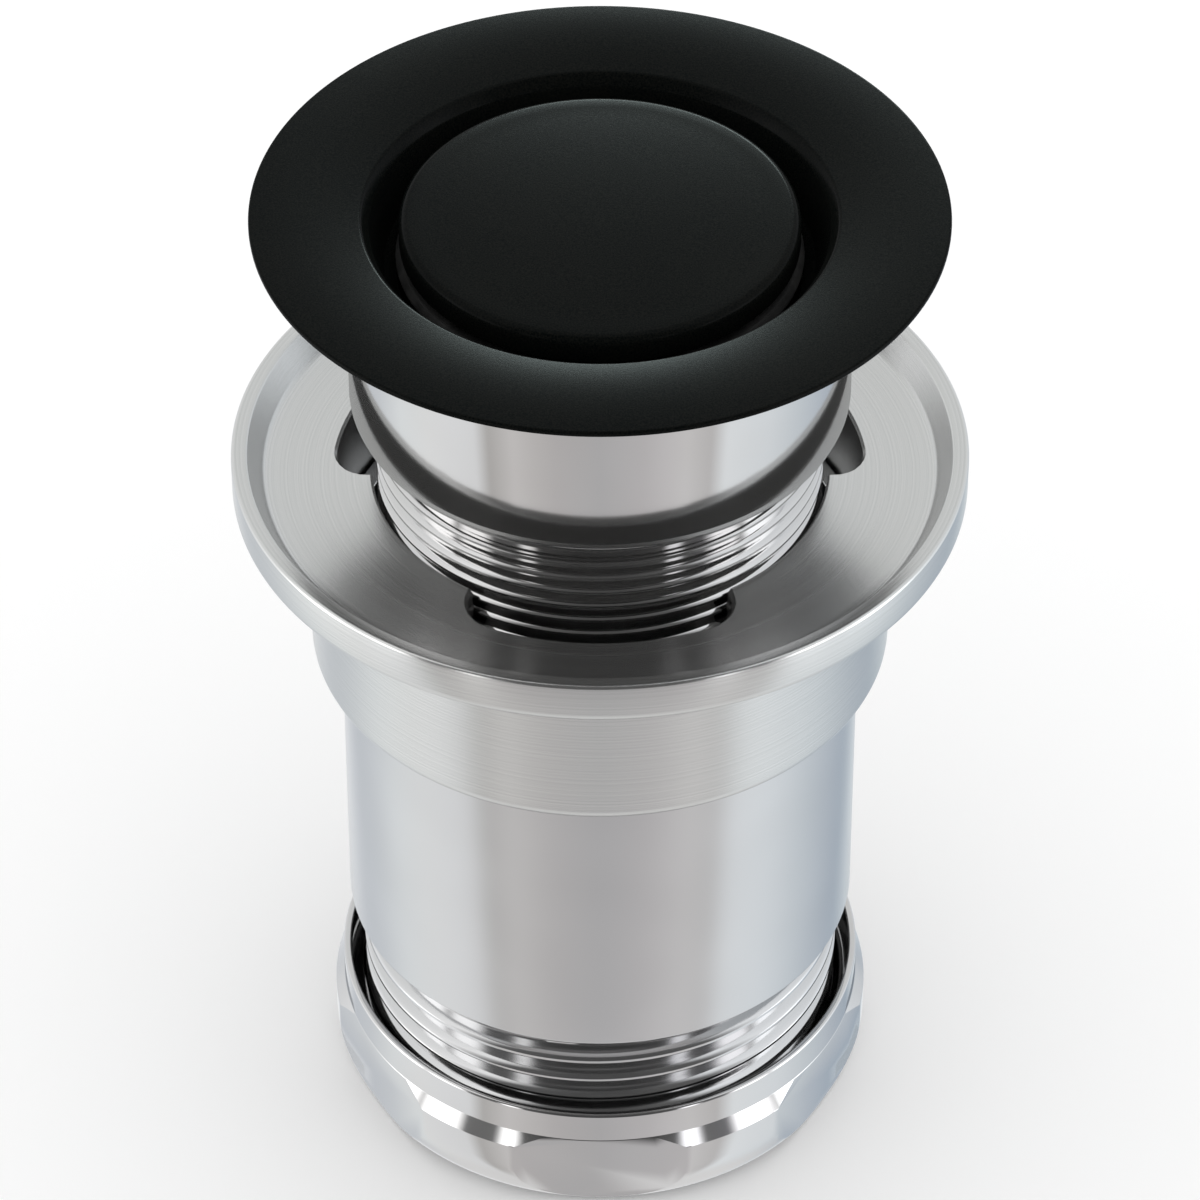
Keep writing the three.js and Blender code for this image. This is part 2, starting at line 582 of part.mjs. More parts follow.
/** The middle line of the click spring, from its foot to its top. */
class SpringLine extends THREE.Curve {
  getPoint(t, target = new THREE.Vector3()) {
    const radius = (SPRING_DIAMETER - SPRING_WIRE) / 2;
    const angle = t * SPRING_TURNS * 2 * Math.PI;
    const [foot, top] = [springFoot + SPRING_WIRE / 2, springTop - SPRING_WIRE / 2];
    return target.set(radius * Math.cos(angle), radius * Math.sin(angle), foot + t * (top - foot));
  }
}

function clickSpring() {
  const section = new THREE.Shape().absarc(0, 0, SPRING_WIRE / 2, 0, 2 * Math.PI, false);
  const steps = SPRING_TURNS * SPRING_STEPS;
  const wire = { steps, curveSegments: 3, extrudePath: new SpringLine() };
  return piece("click_spring", solidOf(new THREE.ExtrudeGeometry(section, wire)), springSteel);
}

function barrelCap() {
  const plug = BARREL_BORE / 2 - GAP;
  const rim = BARREL_DIAMETER / 2;
  const bore = BARREL_CAP_BORE / 2;
  const rimTop = barrelFoot - GAP;
  const rimFoot = rimTop - BARREL_CAP_RIM;
  const outline = [
    [bore, rimFoot], [rim, rimFoot], [rim, rimTop], [plug, rimTop], [plug, barrelCapTop],
    [bore, barrelCapTop],
  ];
  return piece("barrel_cap", turned(outline, SMALL_SIDES), greyPlastic);
}

function barrelLocknut() {
  const top = bossFoot - GAP;
  const foot = top - LOCKNUT_HEIGHT;
  const boreRadius = BARREL_DIAMETER / 2 + THREAD_CLEARANCE;
  const bore = ring(0, boreRadius, foot - CUT_PAST, top + CUT_PAST, SMALL_SIDES);
  return piece("barrel_locknut", hexagon(LOCKNUT_ACROSS_FLATS, foot, top).subtract(bore), polished);
}

// ---- The assembly ----

const nutGroup = new THREE.Group();
nutGroup.add(slipNut(), frictionRing(), compressionRing());

const lowerBody = new THREE.Group();
lowerBody.add(lowerFlange(), tailTube());

const plugGroup = new THREE.Group();
plugGroup.add(plugCap(), plugCarrier(), plugSeal(), plugStem(), stemClip(), clickRotor());

const cartridge = new THREE.Group();
cartridge.add(clickBarrel(), stemORing(), clickGuide(), clickSpring(), barrelCap(), barrelLocknut());

const upperBody = new THREE.Group();
upperBody.add(topFlange(), flangeGasket(), neckBody(), cartridge, plugGroup);

const popUpWaste = new THREE.Group();
popUpWaste.add(nutGroup, lowerBody, upperBody);

export default popUpWaste;
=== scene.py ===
"""Looks of a wash basin pop-up waste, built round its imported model.

Lengths in the classes are millimetres; meshes are written in metres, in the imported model's frame.
"""

import json
import logging
import math
from dataclasses import dataclass, field
from enum import Enum
from typing import Any, Iterable, Sequence, Union

import bmesh
import bpy
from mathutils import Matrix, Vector

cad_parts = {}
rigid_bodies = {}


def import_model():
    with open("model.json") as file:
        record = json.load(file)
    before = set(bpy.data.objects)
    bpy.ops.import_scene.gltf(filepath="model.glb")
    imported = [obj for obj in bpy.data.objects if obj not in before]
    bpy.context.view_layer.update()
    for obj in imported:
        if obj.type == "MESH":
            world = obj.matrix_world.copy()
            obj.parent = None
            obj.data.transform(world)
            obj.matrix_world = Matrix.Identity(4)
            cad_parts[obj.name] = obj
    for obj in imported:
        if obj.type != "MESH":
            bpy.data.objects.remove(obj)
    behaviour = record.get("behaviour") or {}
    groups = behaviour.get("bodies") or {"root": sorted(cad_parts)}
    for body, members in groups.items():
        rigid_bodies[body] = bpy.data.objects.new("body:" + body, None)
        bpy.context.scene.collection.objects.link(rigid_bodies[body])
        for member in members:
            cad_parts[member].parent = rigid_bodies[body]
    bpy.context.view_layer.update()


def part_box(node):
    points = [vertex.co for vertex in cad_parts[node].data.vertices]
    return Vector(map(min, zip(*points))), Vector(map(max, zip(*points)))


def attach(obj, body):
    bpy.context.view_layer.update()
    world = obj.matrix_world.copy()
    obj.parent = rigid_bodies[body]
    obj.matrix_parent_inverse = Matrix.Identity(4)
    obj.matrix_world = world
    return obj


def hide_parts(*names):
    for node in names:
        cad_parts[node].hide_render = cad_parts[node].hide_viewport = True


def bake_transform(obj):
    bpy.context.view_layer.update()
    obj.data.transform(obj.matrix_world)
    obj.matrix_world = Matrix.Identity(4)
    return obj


LOG = logging.getLogger("pop_up_waste")
MM = 0.001
PER_METRE = 1000.0  # millimetres
FULL_TURN = 2 * math.pi
GAP = 0.3  # between pieces that rest on each other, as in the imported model
CUT_PAST = 1.0  # how far a cutter runs past the face that it opens

# Roundings of edges, in millimetres, from the crispest.
HAIR = 0.05
CRISP = 0.1
BROKEN = 0.15
EASED = 0.2
GENTLE = 0.25
SOFT = 0.3
BROAD = 0.5

# Columns of faces round a turned piece.
WIDE_SIDES = 200
SMALL_SIDES = 96
PIN_SIDES = 64

# Meshes.
WELD_DISTANCE = 2e-7  # metres
THREAD_WELD_DISTANCE = 4e-7
CREASE = math.radians(32.0)  # from this angle on, an edge stays sharp
SHORTEST_SIDE = 1e-6  # a shorter side of an outline has no rounding
STRAIGHT = math.pi - 0.02  # a wider corner has no rounding
ROUNDING_SHARE = 0.49  # of a side that the rounding at one end may take

Value = Union["Sock", float, int, Sequence[float], bpy.types.ID, bool, str]
Colour = tuple[float, float, float]


# ---- Node graphs ----


class Sock:
    """An output socket of a node graph, with arithmetic that adds Math nodes."""

    def __init__(self, graph: "Graph", socket: bpy.types.NodeSocket) -> None:
        """Wraps one output socket of a node that stands in the graph."""
        self.graph = graph
        self.socket = socket

    def _maths(self, operation: str, *values: Value) -> "Sock":
        """Adds one Math node whose inputs are the values in turn."""
        return self.graph.node("ShaderNodeMath", {"operation": operation}, list(values))

    def __add__(self, other: Value) -> "Sock":
        """self + other."""
        return self._maths("ADD", self, other)

    def __radd__(self, other: Value) -> "Sock":
        """other + self."""
        return self._maths("ADD", other, self)

    def __sub__(self, other: Value) -> "Sock":
        """self - other."""
        return self._maths("SUBTRACT", self, other)

    def __rsub__(self, other: Value) -> "Sock":
        """other - self."""
        return self._maths("SUBTRACT", other, self)

    def __mul__(self, other: Value) -> "Sock":
        """self * other."""
        return self._maths("MULTIPLY", self, other)

    def __rmul__(self, other: Value) -> "Sock":
        """other * self."""
        return self._maths("MULTIPLY", other, self)

    def __truediv__(self, other: Value) -> "Sock":
        """self / other."""
        return self._maths("DIVIDE", self, other)

    def __rtruediv__(self, other: Value) -> "Sock":
        """other / self."""
        return self._maths("DIVIDE", other, self)

    def __neg__(self) -> "Sock":
        """-self."""
        return self._maths("MULTIPLY", self, -1.0)

    def maths(self, operation: str, *others: Value) -> "Sock":
        """Adds a Math node of another operation, such as SINE, MINIMUM or FRACT."""
        return self._maths(operation, self, *others)

    def ramp(self, low: float, high: float) -> "Sock":
        """A smooth rise from 0 at low to 1 at high.

        Args:
            low: Where the rise starts.
            high: Where the rise ends.

        Returns:
            The risen value, held between 0 and 1.
        """
        settings = {"interpolation_type": "SMOOTHSTEP"}
        limits = {"Value": self, "From Min": low, "From Max": high}
        return self.graph.node("ShaderNodeMapRange", settings, limits)


class Graph:
    """A node tree, with one method that adds any node."""

    def __init__(self, tree: bpy.types.NodeTree) -> None:
        """Wraps a node tree."""
        self.tree = tree

    def node(
        self,
        kind: str,
        settings: dict[str, Any] | None = None,
        inputs: dict[str, Value] | Sequence[Value] | None = None,
        output: str | int = 0,
    ) -> Sock:
        """Adds a node.

        Args:
            kind: The node's type.
            settings: Its own settings; "stops" are a colour ramp's (place, colour) pairs.
            inputs: Values or links, by socket name or in the order of the sockets.
            output: The output that is wanted, by name or by place.

        Returns:
            The wanted output socket.
        """
        made = self.tree.nodes.new(kind)
        for name, value in (settings or {}).items():
            if name == "stops":
                self._set_stops(made.color_ramp, value)
            else:
                setattr(made, name, value)
        open_inputs = [s for s in made.inputs if s.enabled]
        if isinstance(inputs, dict):
            pairs = [
                (next(s for s in open_inputs if s.name == name), value)
                for name, value in inputs.items()
            ]
        else:
            pairs = list(zip(open_inputs, inputs or []))
        for socket, value in pairs:
            self.connect(socket, value)
        outputs = [s for s in made.outputs if s.enabled]
        if not outputs:
            return Sock(self, made.inputs[0])
        if isinstance(output, int):
            return Sock(self, outputs[output])
        return Sock(self, next(s for s in outputs if s.name == output))

    def connect(self, socket: bpy.types.NodeSocket, value: Value) -> None:
        """Links a socket to another, or sets its value.

        Args:
            socket: The input socket.
            value: The output that it takes, or a plain value.
        """
        if isinstance(value, Sock):
            self.tree.links.new(value.socket, socket)
        elif isinstance(value, (tuple, list)) and socket.type == "RGBA" and len(value) == 3:
            socket.default_value = (*value, 1.0)
        else:
            socket.default_value = value

    @staticmethod
    def _set_stops(ramp: bpy.types.ColorRamp, stops: Iterable[tuple[float, Colour]]) -> None:
        """Gives a colour ramp its stops.

        Args:
            ramp: The colour ramp of a new node.
            stops: Its (place, colour) pairs, from the lowest place up.
        """
        wanted = list(stops)
        while len(ramp.elements) < len(wanted):
            ramp.elements.new(0.5)  # anywhere, as its place is set below
        for element, (place, colour) in zip(ramp.elements, wanted):
            element.position = place
            element.color = (*colour, 1.0)


class GeometryTree(Graph):
    """A Geometry Nodes tree with named inputs, ending in Realize Instances and Set Material."""

    KINDS = {
        float: "NodeSocketFloat",
        int: "NodeSocketInt",
        bpy.types.Object: "NodeSocketObject",
        bpy.types.Material: "NodeSocketMaterial",
    }

    def __init__(self, name: str, inputs: dict[str, type]) -> None:
        """Starts the tree.

        Args:
            name: The tree's name.
            inputs: The kind of each named input after the geometry.
        """
        super().__init__(bpy.data.node_groups.new(name, "GeometryNodeTree"))
        face = self.tree.interface
        face.new_socket("Geometry", in_out="INPUT", socket_type="NodeSocketGeometry")
        face.new_socket("Geometry", in_out="OUTPUT", socket_type="NodeSocketGeometry")
        self.identifiers = {
            label: face.new_socket(label, in_out="INPUT", socket_type=self.KINDS[kind]).identifier
            for label, kind in {**inputs, "Material": bpy.types.Material}.items()
        }
        self.source = self.tree.nodes.new("NodeGroupInput")

    def given(self, label: str) -> Sock:
        """The tree's named input, or its geometry."""
        return Sock(self, self.source.outputs[label])

    def close(self, geometry: Sock) -> None:
        """Ends the tree.

        Args:
            geometry: The geometry that the tree gives.
        """
        real = self.node("GeometryNodeRealizeInstances", None, [geometry])
        dressed = self.node(
            "GeometryNodeSetMaterial", None, {"Geometry": real, "Material": self.given("Material")}
        )
        sink = self.tree.nodes.new("NodeGroupOutput")
        self.tree.links.new(dressed.socket, sink.inputs["Geometry"])

    def applied(
        self, piece: bpy.types.Object, material: bpy.types.Material, **values: Any
    ) -> bpy.types.Object:
        """Runs the tree on a piece and keeps the result as its plain mesh.

        Args:
            piece: The piece whose mesh goes in.
            material: The finish that it takes.
            **values: The tree's inputs, by their names with _ for a space.

        Returns:
            The same piece, with no modifier left.
        """
        modifier = piece.modifiers.new(self.tree.name, "NODES")
        modifier.node_group = self.tree
        modifier[self.identifiers["Material"]] = material
        for label, value in values.items():
            modifier[self.identifiers[label.replace("_", " ")]] = value
        return settled(piece)


def settled(piece: bpy.types.Object) -> bpy.types.Object:
    """Applies a piece's modifiers.

    Args:
        piece: The piece.

    Returns:
        The same piece, with the modified mesh and no modifiers.
    """
    depsgraph = bpy.context.evaluated_depsgraph_get()
    depsgraph.update()
    mesh = bpy.data.meshes.new_from_object(
        piece.evaluated_get(depsgraph), preserve_all_data_layers=True, depsgraph=depsgraph
    )
    piece.modifiers.clear()
    old = piece.data
    piece.data = mesh
    bpy.data.meshes.remove(old)
    mesh.name = piece.name
    return piece


# ---- Turned shapes ----


@dataclass(frozen=True)
class Corner:
    """A corner of a turned outline, in millimetres: its radius, its level and its rounding."""

    r: float
    z: float
    round: float = 0.0


@dataclass(frozen=True)
class Thread:
    """A right-hand male thread on the outer side of a turned outline, in millimetres."""

    crest: float
    depth: float
    pitch: float
    foot: float
    top: float
    rows: int = 12  # in one pitch

    @property
    def root(self) -> float:
        """Radius at the thread's root."""
        return self.crest - self.depth

    @property
    def row_count(self) -> int:
        """Rows of points that cover the thread and one more turn."""
        return math.ceil(((self.top - self.foot) / self.pitch + 1) * self.rows) + 1


def rounded_corner(
    before: Corner, corner: Corner, after: Corner, steps: int
) -> list[tuple[float, float]]:
    """The points that stand for one corner.

    Args:
        before: The corner before it.
        corner: The corner.
        after: The corner after it.
        steps: Straight steps in a rounding of a right angle.

    Returns:
        (radius, level) points along the rounding, or the corner's own point.
    """
    here = Vector((corner.r, corner.z))
    back, on = Vector((before.r, before.z)) - here, Vector((after.r, after.z)) - here
    if not corner.round or min(back.length, on.length) < SHORTEST_SIDE:
        return [(corner.r, corner.z)]
    angle = back.angle(on)
    if angle > STRAIGHT:
        return [(corner.r, corner.z)]
    reach = min(
        corner.round / math.tan(angle / 2), back.length * ROUNDING_SHARE, on.length * ROUNDING_SHARE
    )
    radius = reach * math.tan(angle / 2)
    inward = (back.normalized() + on.normalized()).normalized()
    centre = here + inward * (radius / math.sin(angle / 2))
    start = here + back.normalized() * reach - centre
    swing = start.angle_signed(here + on.normalized() * reach - centre)
    count = max(2, round(steps * abs(swing) / (math.pi / 2)))
    points = []
    for i in range(count + 1):
        turn = -swing * i / count
        across = Vector((
            start.x * math.cos(turn) - start.y * math.sin(turn),
            start.x * math.sin(turn) + start.y * math.cos(turn),
        ))
        points.append(tuple(centre + across))
    return points


def turned(
    name: str, outline: Sequence[Corner | Thread], sides: int = 160, steps: int = 5
) -> bpy.types.Object:
    """A piece turned about Z from its outline.

    Args:
        name: The piece's name.
        outline: Corners, counter-clockwise with the axis on the left; it starts and ends at radius 0,
            or closes on itself. A Thread stands where its rows come, going up.
        sides: Columns of faces in one turn.
        steps: Straight steps in the rounding of a right angle.

    Returns:
        The new object. Where it has a thread, the seam is open until the thread is wound.
    """
    rows: list[tuple[float, float, float]] = []
    ends = [
        [Corner(item.root, item.foot), Corner(item.root, item.top)]
        if isinstance(item, Thread) else [item, item]
        for item in outline
    ]
    on_axis = ends[0][0].r == 0 and ends[-1][1].r == 0
    for i, item in enumerate(outline):
        if isinstance(item, Thread):
            rows += [(item.root, item.foot, float(row)) for row in range(item.row_count)]
        elif on_axis and i in (0, len(outline) - 1):
            rows.append((item.r, item.z, -1.0))
        else:
            before, after = ends[i - 1][1], ends[(i + 1) % len(outline)][0]
            rows += [(r, z, -1.0) for r, z in rounded_corner(before, item, after, steps)]
    if not on_axis:
        rows.append(rows[0])
    mesh = bpy.data.meshes.new(name)
    count = len(rows)
    points = []
    for column in range(sides + 1):
        angle = FULL_TURN * column / sides
        points += [(r * math.cos(angle) * MM, r * math.sin(angle) * MM, z * MM) for r, z, _ in rows]
    faces = [
        (a, a + count, a + count + 1, a + 1)
        for column in range(sides)
        for a in range(column * count, column * count + count - 1)
    ]
    mesh.from_pydata(points, [], faces)
    threaded = any(isinstance(item, Thread) for item in outline)
    if threaded:
        turn = mesh.attributes.new("turn", "FLOAT", "POINT")
        turns = [column / sides for column in range(sides + 1) for _ in rows]
        turn.data.foreach_set("value", turns)
        row = mesh.attributes.new("thread_row", "FLOAT", "POINT")
        row.data.foreach_set("value", [k for _ in range(sides + 1) for _, _, k in rows])
    else:
        weld(mesh)
    return placed(name, mesh)


def weld(mesh: bpy.types.Mesh) -> None:
    """Merges a mesh's doubled points and drops the faces that collapse.

    Args:
        mesh: The mesh.
    """
    shape = bmesh.new()
    shape.from_mesh(mesh)
    bmesh.ops.remove_doubles(shape, verts=shape.verts, dist=WELD_DISTANCE)
    shape.to_mesh(mesh)
    shape.free()


def placed(name: str, mesh: bpy.types.Mesh) -> bpy.types.Object:
    """Puts a mesh into the scene as an object at the origin.

    Args:
        name: The object's name.
        mesh: The mesh.

    Returns:
        The new object.
    """
    made = bpy.data.objects.new(name, mesh)
    bpy.context.scene.collection.objects.link(made)
    return made


def smooth(piece: bpy.types.Object) -> None:
    """Shades a piece smooth with its sharp edges kept, and drops what its thread was wound from.

    Args:
        piece: The piece.
    """
    shape = bmesh.new()
    shape.from_mesh(piece.data)
    for face in shape.faces:
        face.smooth = True
    for edge in shape.edges:
        edge.smooth = len(edge.link_faces) == 2 and edge.calc_face_angle(0.0) < CREASE
    shape.to_mesh(piece.data)
    shape.free()
    for name in ("turn", "thread_row"):
        attribute = piece.data.attributes.get(name)
        if attribute:
            piece.data.attributes.remove(attribute)


def prism(name: str, outlines: Sequence[Sequence[tuple[float, float, float]]]) -> bpy.types.Object:
    """A closed solid that joins rings of points, one above the other.

    Args:
        name: The object's name.
        outlines: Rings of (x, y, z) points in millimetres, counter-clockwise, from the lowest up.

    Returns:
        The new object.
    """
    shape = bmesh.new()
    rings = [[shape.verts.new((x * MM, y * MM, z * MM)) for x, y, z in ring] for ring in outlines]
    shape.faces.new(list(reversed(rings[0])))
    shape.faces.new(rings[-1])
    for low, high in zip(rings, rings[1:]):
        for i in range(len(low)):
            j = (i + 1) % len(low)
            shape.faces.new((low[i], low[j], high[j], high[i]))
    mesh = bpy.data.meshes.new(name)
    shape.to_mesh(mesh)
    shape.free()
    return placed(name, mesh)


class Join(Enum):
    """How one solid changes another."""

    ADD = "UNION"
    CUT = "DIFFERENCE"


def joined(piece: bpy.types.Object, tool: bpy.types.Object, how: Join) -> bpy.types.Object:
    """Adds a solid to a piece, or cuts it out of the piece, and drops the solid.

    Args:
        piece: The piece.
        tool: The solid.
        how: Whether it is added or cut out.

    Returns:
        The same piece.
    """
    modifier = piece.modifiers.new("join", "BOOLEAN")
    modifier.operation = how.value
    modifier.solver = "MANIFOLD"
    modifier.object = tool
    settled(piece)
    bpy.data.objects.remove(tool)
    return piece


# ---- Geometry Nodes that wind, coil and cut ----


class ThreadWinder(GeometryTree):
    """Winds the thread rows of a turned blank up its wall and closes the blank's seam."""

    CREST_SHARE = 0.03  # half the crest's flat, as a share of the pitch
    ROOT_SHARE = 0.47  # where the flank meets the root
    RUN_OUT = 1.2  # how steeply the ridge rises from nothing at the thread's ends

    def __init__(self) -> None:
        """Builds the tree."""
        super().__init__("wind_thread", dict.fromkeys(
            ("Crest", "Depth", "Pitch", "Foot", "Top", "Rows"), float
        ))
        turn = self._attribute("turn")
        row = self._attribute("thread_row") / self.given("Rows")
        foot, top, depth = self.given("Foot"), self.given("Top"), self.given("Depth")
        climb = foot + (row + turn - 1.0) * self.given("Pitch")
        level = climb.maths("MAXIMUM", foot).maths("MINIMUM", top)
        from_crest = (row.maths("FRACT") - 0.5).maths("ABSOLUTE")
        ridge = (1.0 - from_crest.ramp(self.CREST_SHARE, self.ROOT_SHARE)) * depth
        started = ridge.maths("MINIMUM", (level - foot) * self.RUN_OUT)
        height = started.maths("MINIMUM", (top - level) * self.RUN_OUT)
        radius = self.given("Crest") - depth + height
        angle = turn * FULL_TURN
        place = self.node("ShaderNodeCombineXYZ", None, [
            radius * angle.maths("COSINE"), radius * angle.maths("SINE"), level,
        ])
        in_thread = self.node("FunctionNodeCompare", {"operation": "GREATER_EQUAL"}, [row, 0.0])
        wound = self.node("GeometryNodeSetPosition", None, {
            "Geometry": self.given("Geometry"), "Selection": in_thread, "Position": place,
        })
        self.close(self.node("GeometryNodeMergeByDistance", None, {
            "Geometry": wound, "Distance": THREAD_WELD_DISTANCE,
        }))

    def _attribute(self, name: str) -> Sock:
        """A number that the blank's points carry."""
        return self.node("GeometryNodeInputNamedAttribute", {"data_type": "FLOAT"}, {"Name": name})

    def wind(
        self, piece: bpy.types.Object, thread: Thread, material: bpy.types.Material
    ) -> bpy.types.Object:
        """Winds a thread on a turned blank.

        Args:
            piece: The blank, with its seam open.
            thread: The thread.
            material: The finish of the whole piece.

        Returns:
            The same piece.
        """
        return self.applied(
            piece, material, Crest=thread.crest * MM, Depth=thread.depth * MM,
            Pitch=thread.pitch * MM, Foot=thread.foot * MM, Top=thread.top * MM,
            Rows=float(thread.rows),
        )


class RingCutter(GeometryTree):
    """Cuts the same notch, slot or flat out of a piece at even angles round its axis."""

    def __init__(self) -> None:
        """Builds the tree."""
        super().__init__("cut_round_axis", {"Cutter": bpy.types.Object, "Count": int})
        cutter = self.node("GeometryNodeObjectInfo", None, {"Object": self.given("Cutter")}, "Geometry")
        points = self.node("GeometryNodePoints", None, {"Count": self.given("Count")})
        index = self.node("GeometryNodeInputIndex")
        angle = index / self.given("Count") * FULL_TURN
        rotation = self.node("FunctionNodeAxisAngleToRotation", None, {
            "Axis": (0.0, 0.0, 1.0), "Angle": angle,
        })
        copies = self.node("GeometryNodeInstanceOnPoints", None, {
            "Points": points, "Instance": cutter, "Rotation": rotation,
        })
        real = self.node("GeometryNodeRealizeInstances", None, [copies])
        cut = self.node(
            "GeometryNodeMeshBoolean", {"operation": "DIFFERENCE", "solver": "MANIFOLD"},
            [self.given("Geometry"), real],
        )
        self.close(cut)

    def cut(
        self, piece: bpy.types.Object, cutter: bpy.types.Object, count: int,
        material: bpy.types.Material,
    ) -> bpy.types.Object:
        """Cuts a piece and drops the cutter.

        Args:
            piece: The piece.
            cutter: The solid of one cut.
            count: How many cuts go round the axis.
            material: The finish of the whole piece.

        Returns:
            The same piece.
        """
        self.applied(piece, material, Cutter=cutter, Count=count)
        bpy.data.objects.remove(cutter)
        return piece


class CoilWinder(GeometryTree):
    """A compression spring whose end turns lie closer than its middle ones."""

    EASE = 0.09  # how much closer the end turns lie, as a share of the height
    STEPS = 40  # in one turn
    SECTION_SIDES = 12

    def __init__(self) -> None:
        """Builds the tree."""
        super().__init__("coil_spring", dict.fromkeys(
            ("Turns", "Radius", "Wire", "Foot", "Height"), float
        ))
        line = self.node("GeometryNodeCurveSpiral", None, {
            "Resolution": self.STEPS, "Rotations": self.given("Turns"),
            "Start Radius": self.given("Radius"), "End Radius": self.given("Radius"), "Height": 0.0,
        })
        share = self.node("GeometryNodeSplineParameter")
        eased = share - (share * FULL_TURN).maths("SINE") * self.EASE
        level = self.given("Foot") + eased * self.given("Height")
        lift = self.node("ShaderNodeCombineXYZ", None, {"Z": level})
        risen = self.node("GeometryNodeSetPosition", None, {"Geometry": line, "Offset": lift})
        section = self.node("GeometryNodeCurvePrimitiveCircle", None, {
            "Resolution": self.SECTION_SIDES, "Radius": self.given("Wire"),
        })
        self.close(self.node("GeometryNodeCurveToMesh", None, {
            "Curve": risen, "Profile Curve": section, "Fill Caps": True,
        }))


# ---- Finishes ----


class Finish:
    """A procedural finish: it starts a material and gives the parts that its patterns share."""

    RING_ROUGHNESS = 0.65  # how much of the finer layers shows in the rings
    GRAIN_ROUGHNESS = 0.6  # and in the speckle

    slot: str = ""
    label: str = ""

    def material(self) -> bpy.types.Material:
        """The finish as a material, made once.

        Returns:
            The material.
        """
        found = bpy.data.materials.get(self.label)
        if found:
            return found
        made = bpy.data.materials.new(self.label)
        made.use_nodes = True
        made.node_tree.nodes.clear()
        graph = Graph(made.node_tree)
        shader = graph.node("ShaderNodeBsdfPrincipled", None, self.sockets(graph))
        sink = made.node_tree.nodes.new("ShaderNodeOutputMaterial")
        made.node_tree.links.new(shader.socket, sink.inputs["Surface"])
        return made

    def sockets(self, graph: Graph) -> dict[str, Value]:
        """The shader's inputs by name; each finish gives its own."""
        raise NotImplementedError

    @staticmethod
    def place(graph: Graph) -> Sock:
        """The point on the piece, in metres."""
        return graph.node("ShaderNodeTexCoord", None, None, "Object")

    @classmethod
    def along_tool(cls, graph: Graph) -> Sock:
        """A length in millimetres that grows both outwards and upwards, as a lathe tool travels.

        Args:
            graph: The material's graph.

        Returns:
            The length.
        """
        point = cls.place(graph)
        flat = graph.node("ShaderNodeVectorMath", {"operation": "MULTIPLY"}, [
            point, (1.0, 1.0, 0.0),
        ])
        radius = graph.node("ShaderNodeVectorMath", {"operation": "LENGTH"}, [flat], "Value")
        level = graph.node("ShaderNodeSeparateXYZ", None, [point], "Z")
        return (radius + level) * PER_METRE

    @classmethod
    def lathe_lines(cls, graph: Graph, per_mm: float, detail: float = 3.0) -> Sock:
        """Uneven fine rings left by a lathe tool, from 0 to 1.

        Args:
            graph: The material's graph.
            per_mm: How many rings stand in a millimetre, about.
            detail: How many finer layers the rings have.

        Returns:
            The rings' height.
        """
        return graph.node("ShaderNodeTexNoise", {"noise_dimensions": "1D"}, {
            "W": cls.along_tool(graph), "Scale": per_mm, "Detail": detail,
            "Roughness": cls.RING_ROUGHNESS,
        })

    @classmethod
    def grain(cls, graph: Graph, per_mm: float, detail: float = 2.0) -> Sock:
        """Even speckle, from 0 to 1.

        Args:
            graph: The material's graph.
            per_mm: How many specks stand in a millimetre, about.
            detail: How many finer layers the speckle has.

        Returns:
            The speckle's height.
        """
        return graph.node("ShaderNodeTexNoise", None, {
            "Vector": cls.place(graph), "Scale": per_mm * PER_METRE, "Detail": detail,
            "Roughness": cls.GRAIN_ROUGHNESS,
        })

    @staticmethod
    def bump(graph: Graph, height: Sock, depth_mm: float) -> Sock:
        """Relief from a height of 0 to 1.

        Args:
            graph: The material's graph.
            height: The height.
            depth_mm: How deep the relief is.

        Returns:
            The changed normal.
        """
        return graph.node("ShaderNodeBump", None, {
            "Strength": 1.0, "Distance": depth_mm * MM, "Height": height,
        })

    @staticmethod
    def blend(graph: Graph, share: Sock, low: Value, high: Value) -> Sock:
        """A colour between two.

        Args:
            graph: The graph.
            share: The share of the second colour, from 0 to 1.
            low: The first colour.
            high: The second.

        Returns:
            The mixed colour.
        """
        return graph.node("ShaderNodeMix", {"data_type": "RGBA"}, {
            "Factor": share, "A": low, "B": high,
        })


@dataclass(frozen=True)
class MattCoat(Finish):
    """Black powder coat: fine even grain, barely any gloss."""

    slot: str = "black_coat"
    label: str = "matt_black_coat"
    dark: Colour = (0.0008, 0.0016, 0.0018)
    light: Colour = (0.0054, 0.0056, 0.0048)
    grain_per_mm: float = 7.0
    grain_share: float = 0.8  # of the change in colour
    cloud_per_mm: float = 0.06
    cloud_share: float = 0.2
    contrast: tuple[float, float] = (0.3, 0.7)
    roughness: float = 0.17
    grain_roughness: float = 0.08
    specular: float = 0.04
    relief: float = 0.0030

    def sockets(self, graph: Graph) -> dict[str, Value]:
        """Dark base with a fine grain in colour, gloss and relief.

        Args:
            graph: The material's graph.

        Returns:
            The shader's inputs by name.
        """
        fine = self.grain(graph, self.grain_per_mm)
        cloudy = self.grain(graph, self.cloud_per_mm, 1.0)
        share = (fine * self.grain_share + cloudy * self.cloud_share).ramp(*self.contrast)
        return {
            "Base Color": self.blend(graph, share, self.dark, self.light),
            "Roughness": self.roughness + fine * self.grain_roughness,
            "Specular IOR Level": self.specular,
            "Normal": self.bump(graph, fine, self.relief),
        }


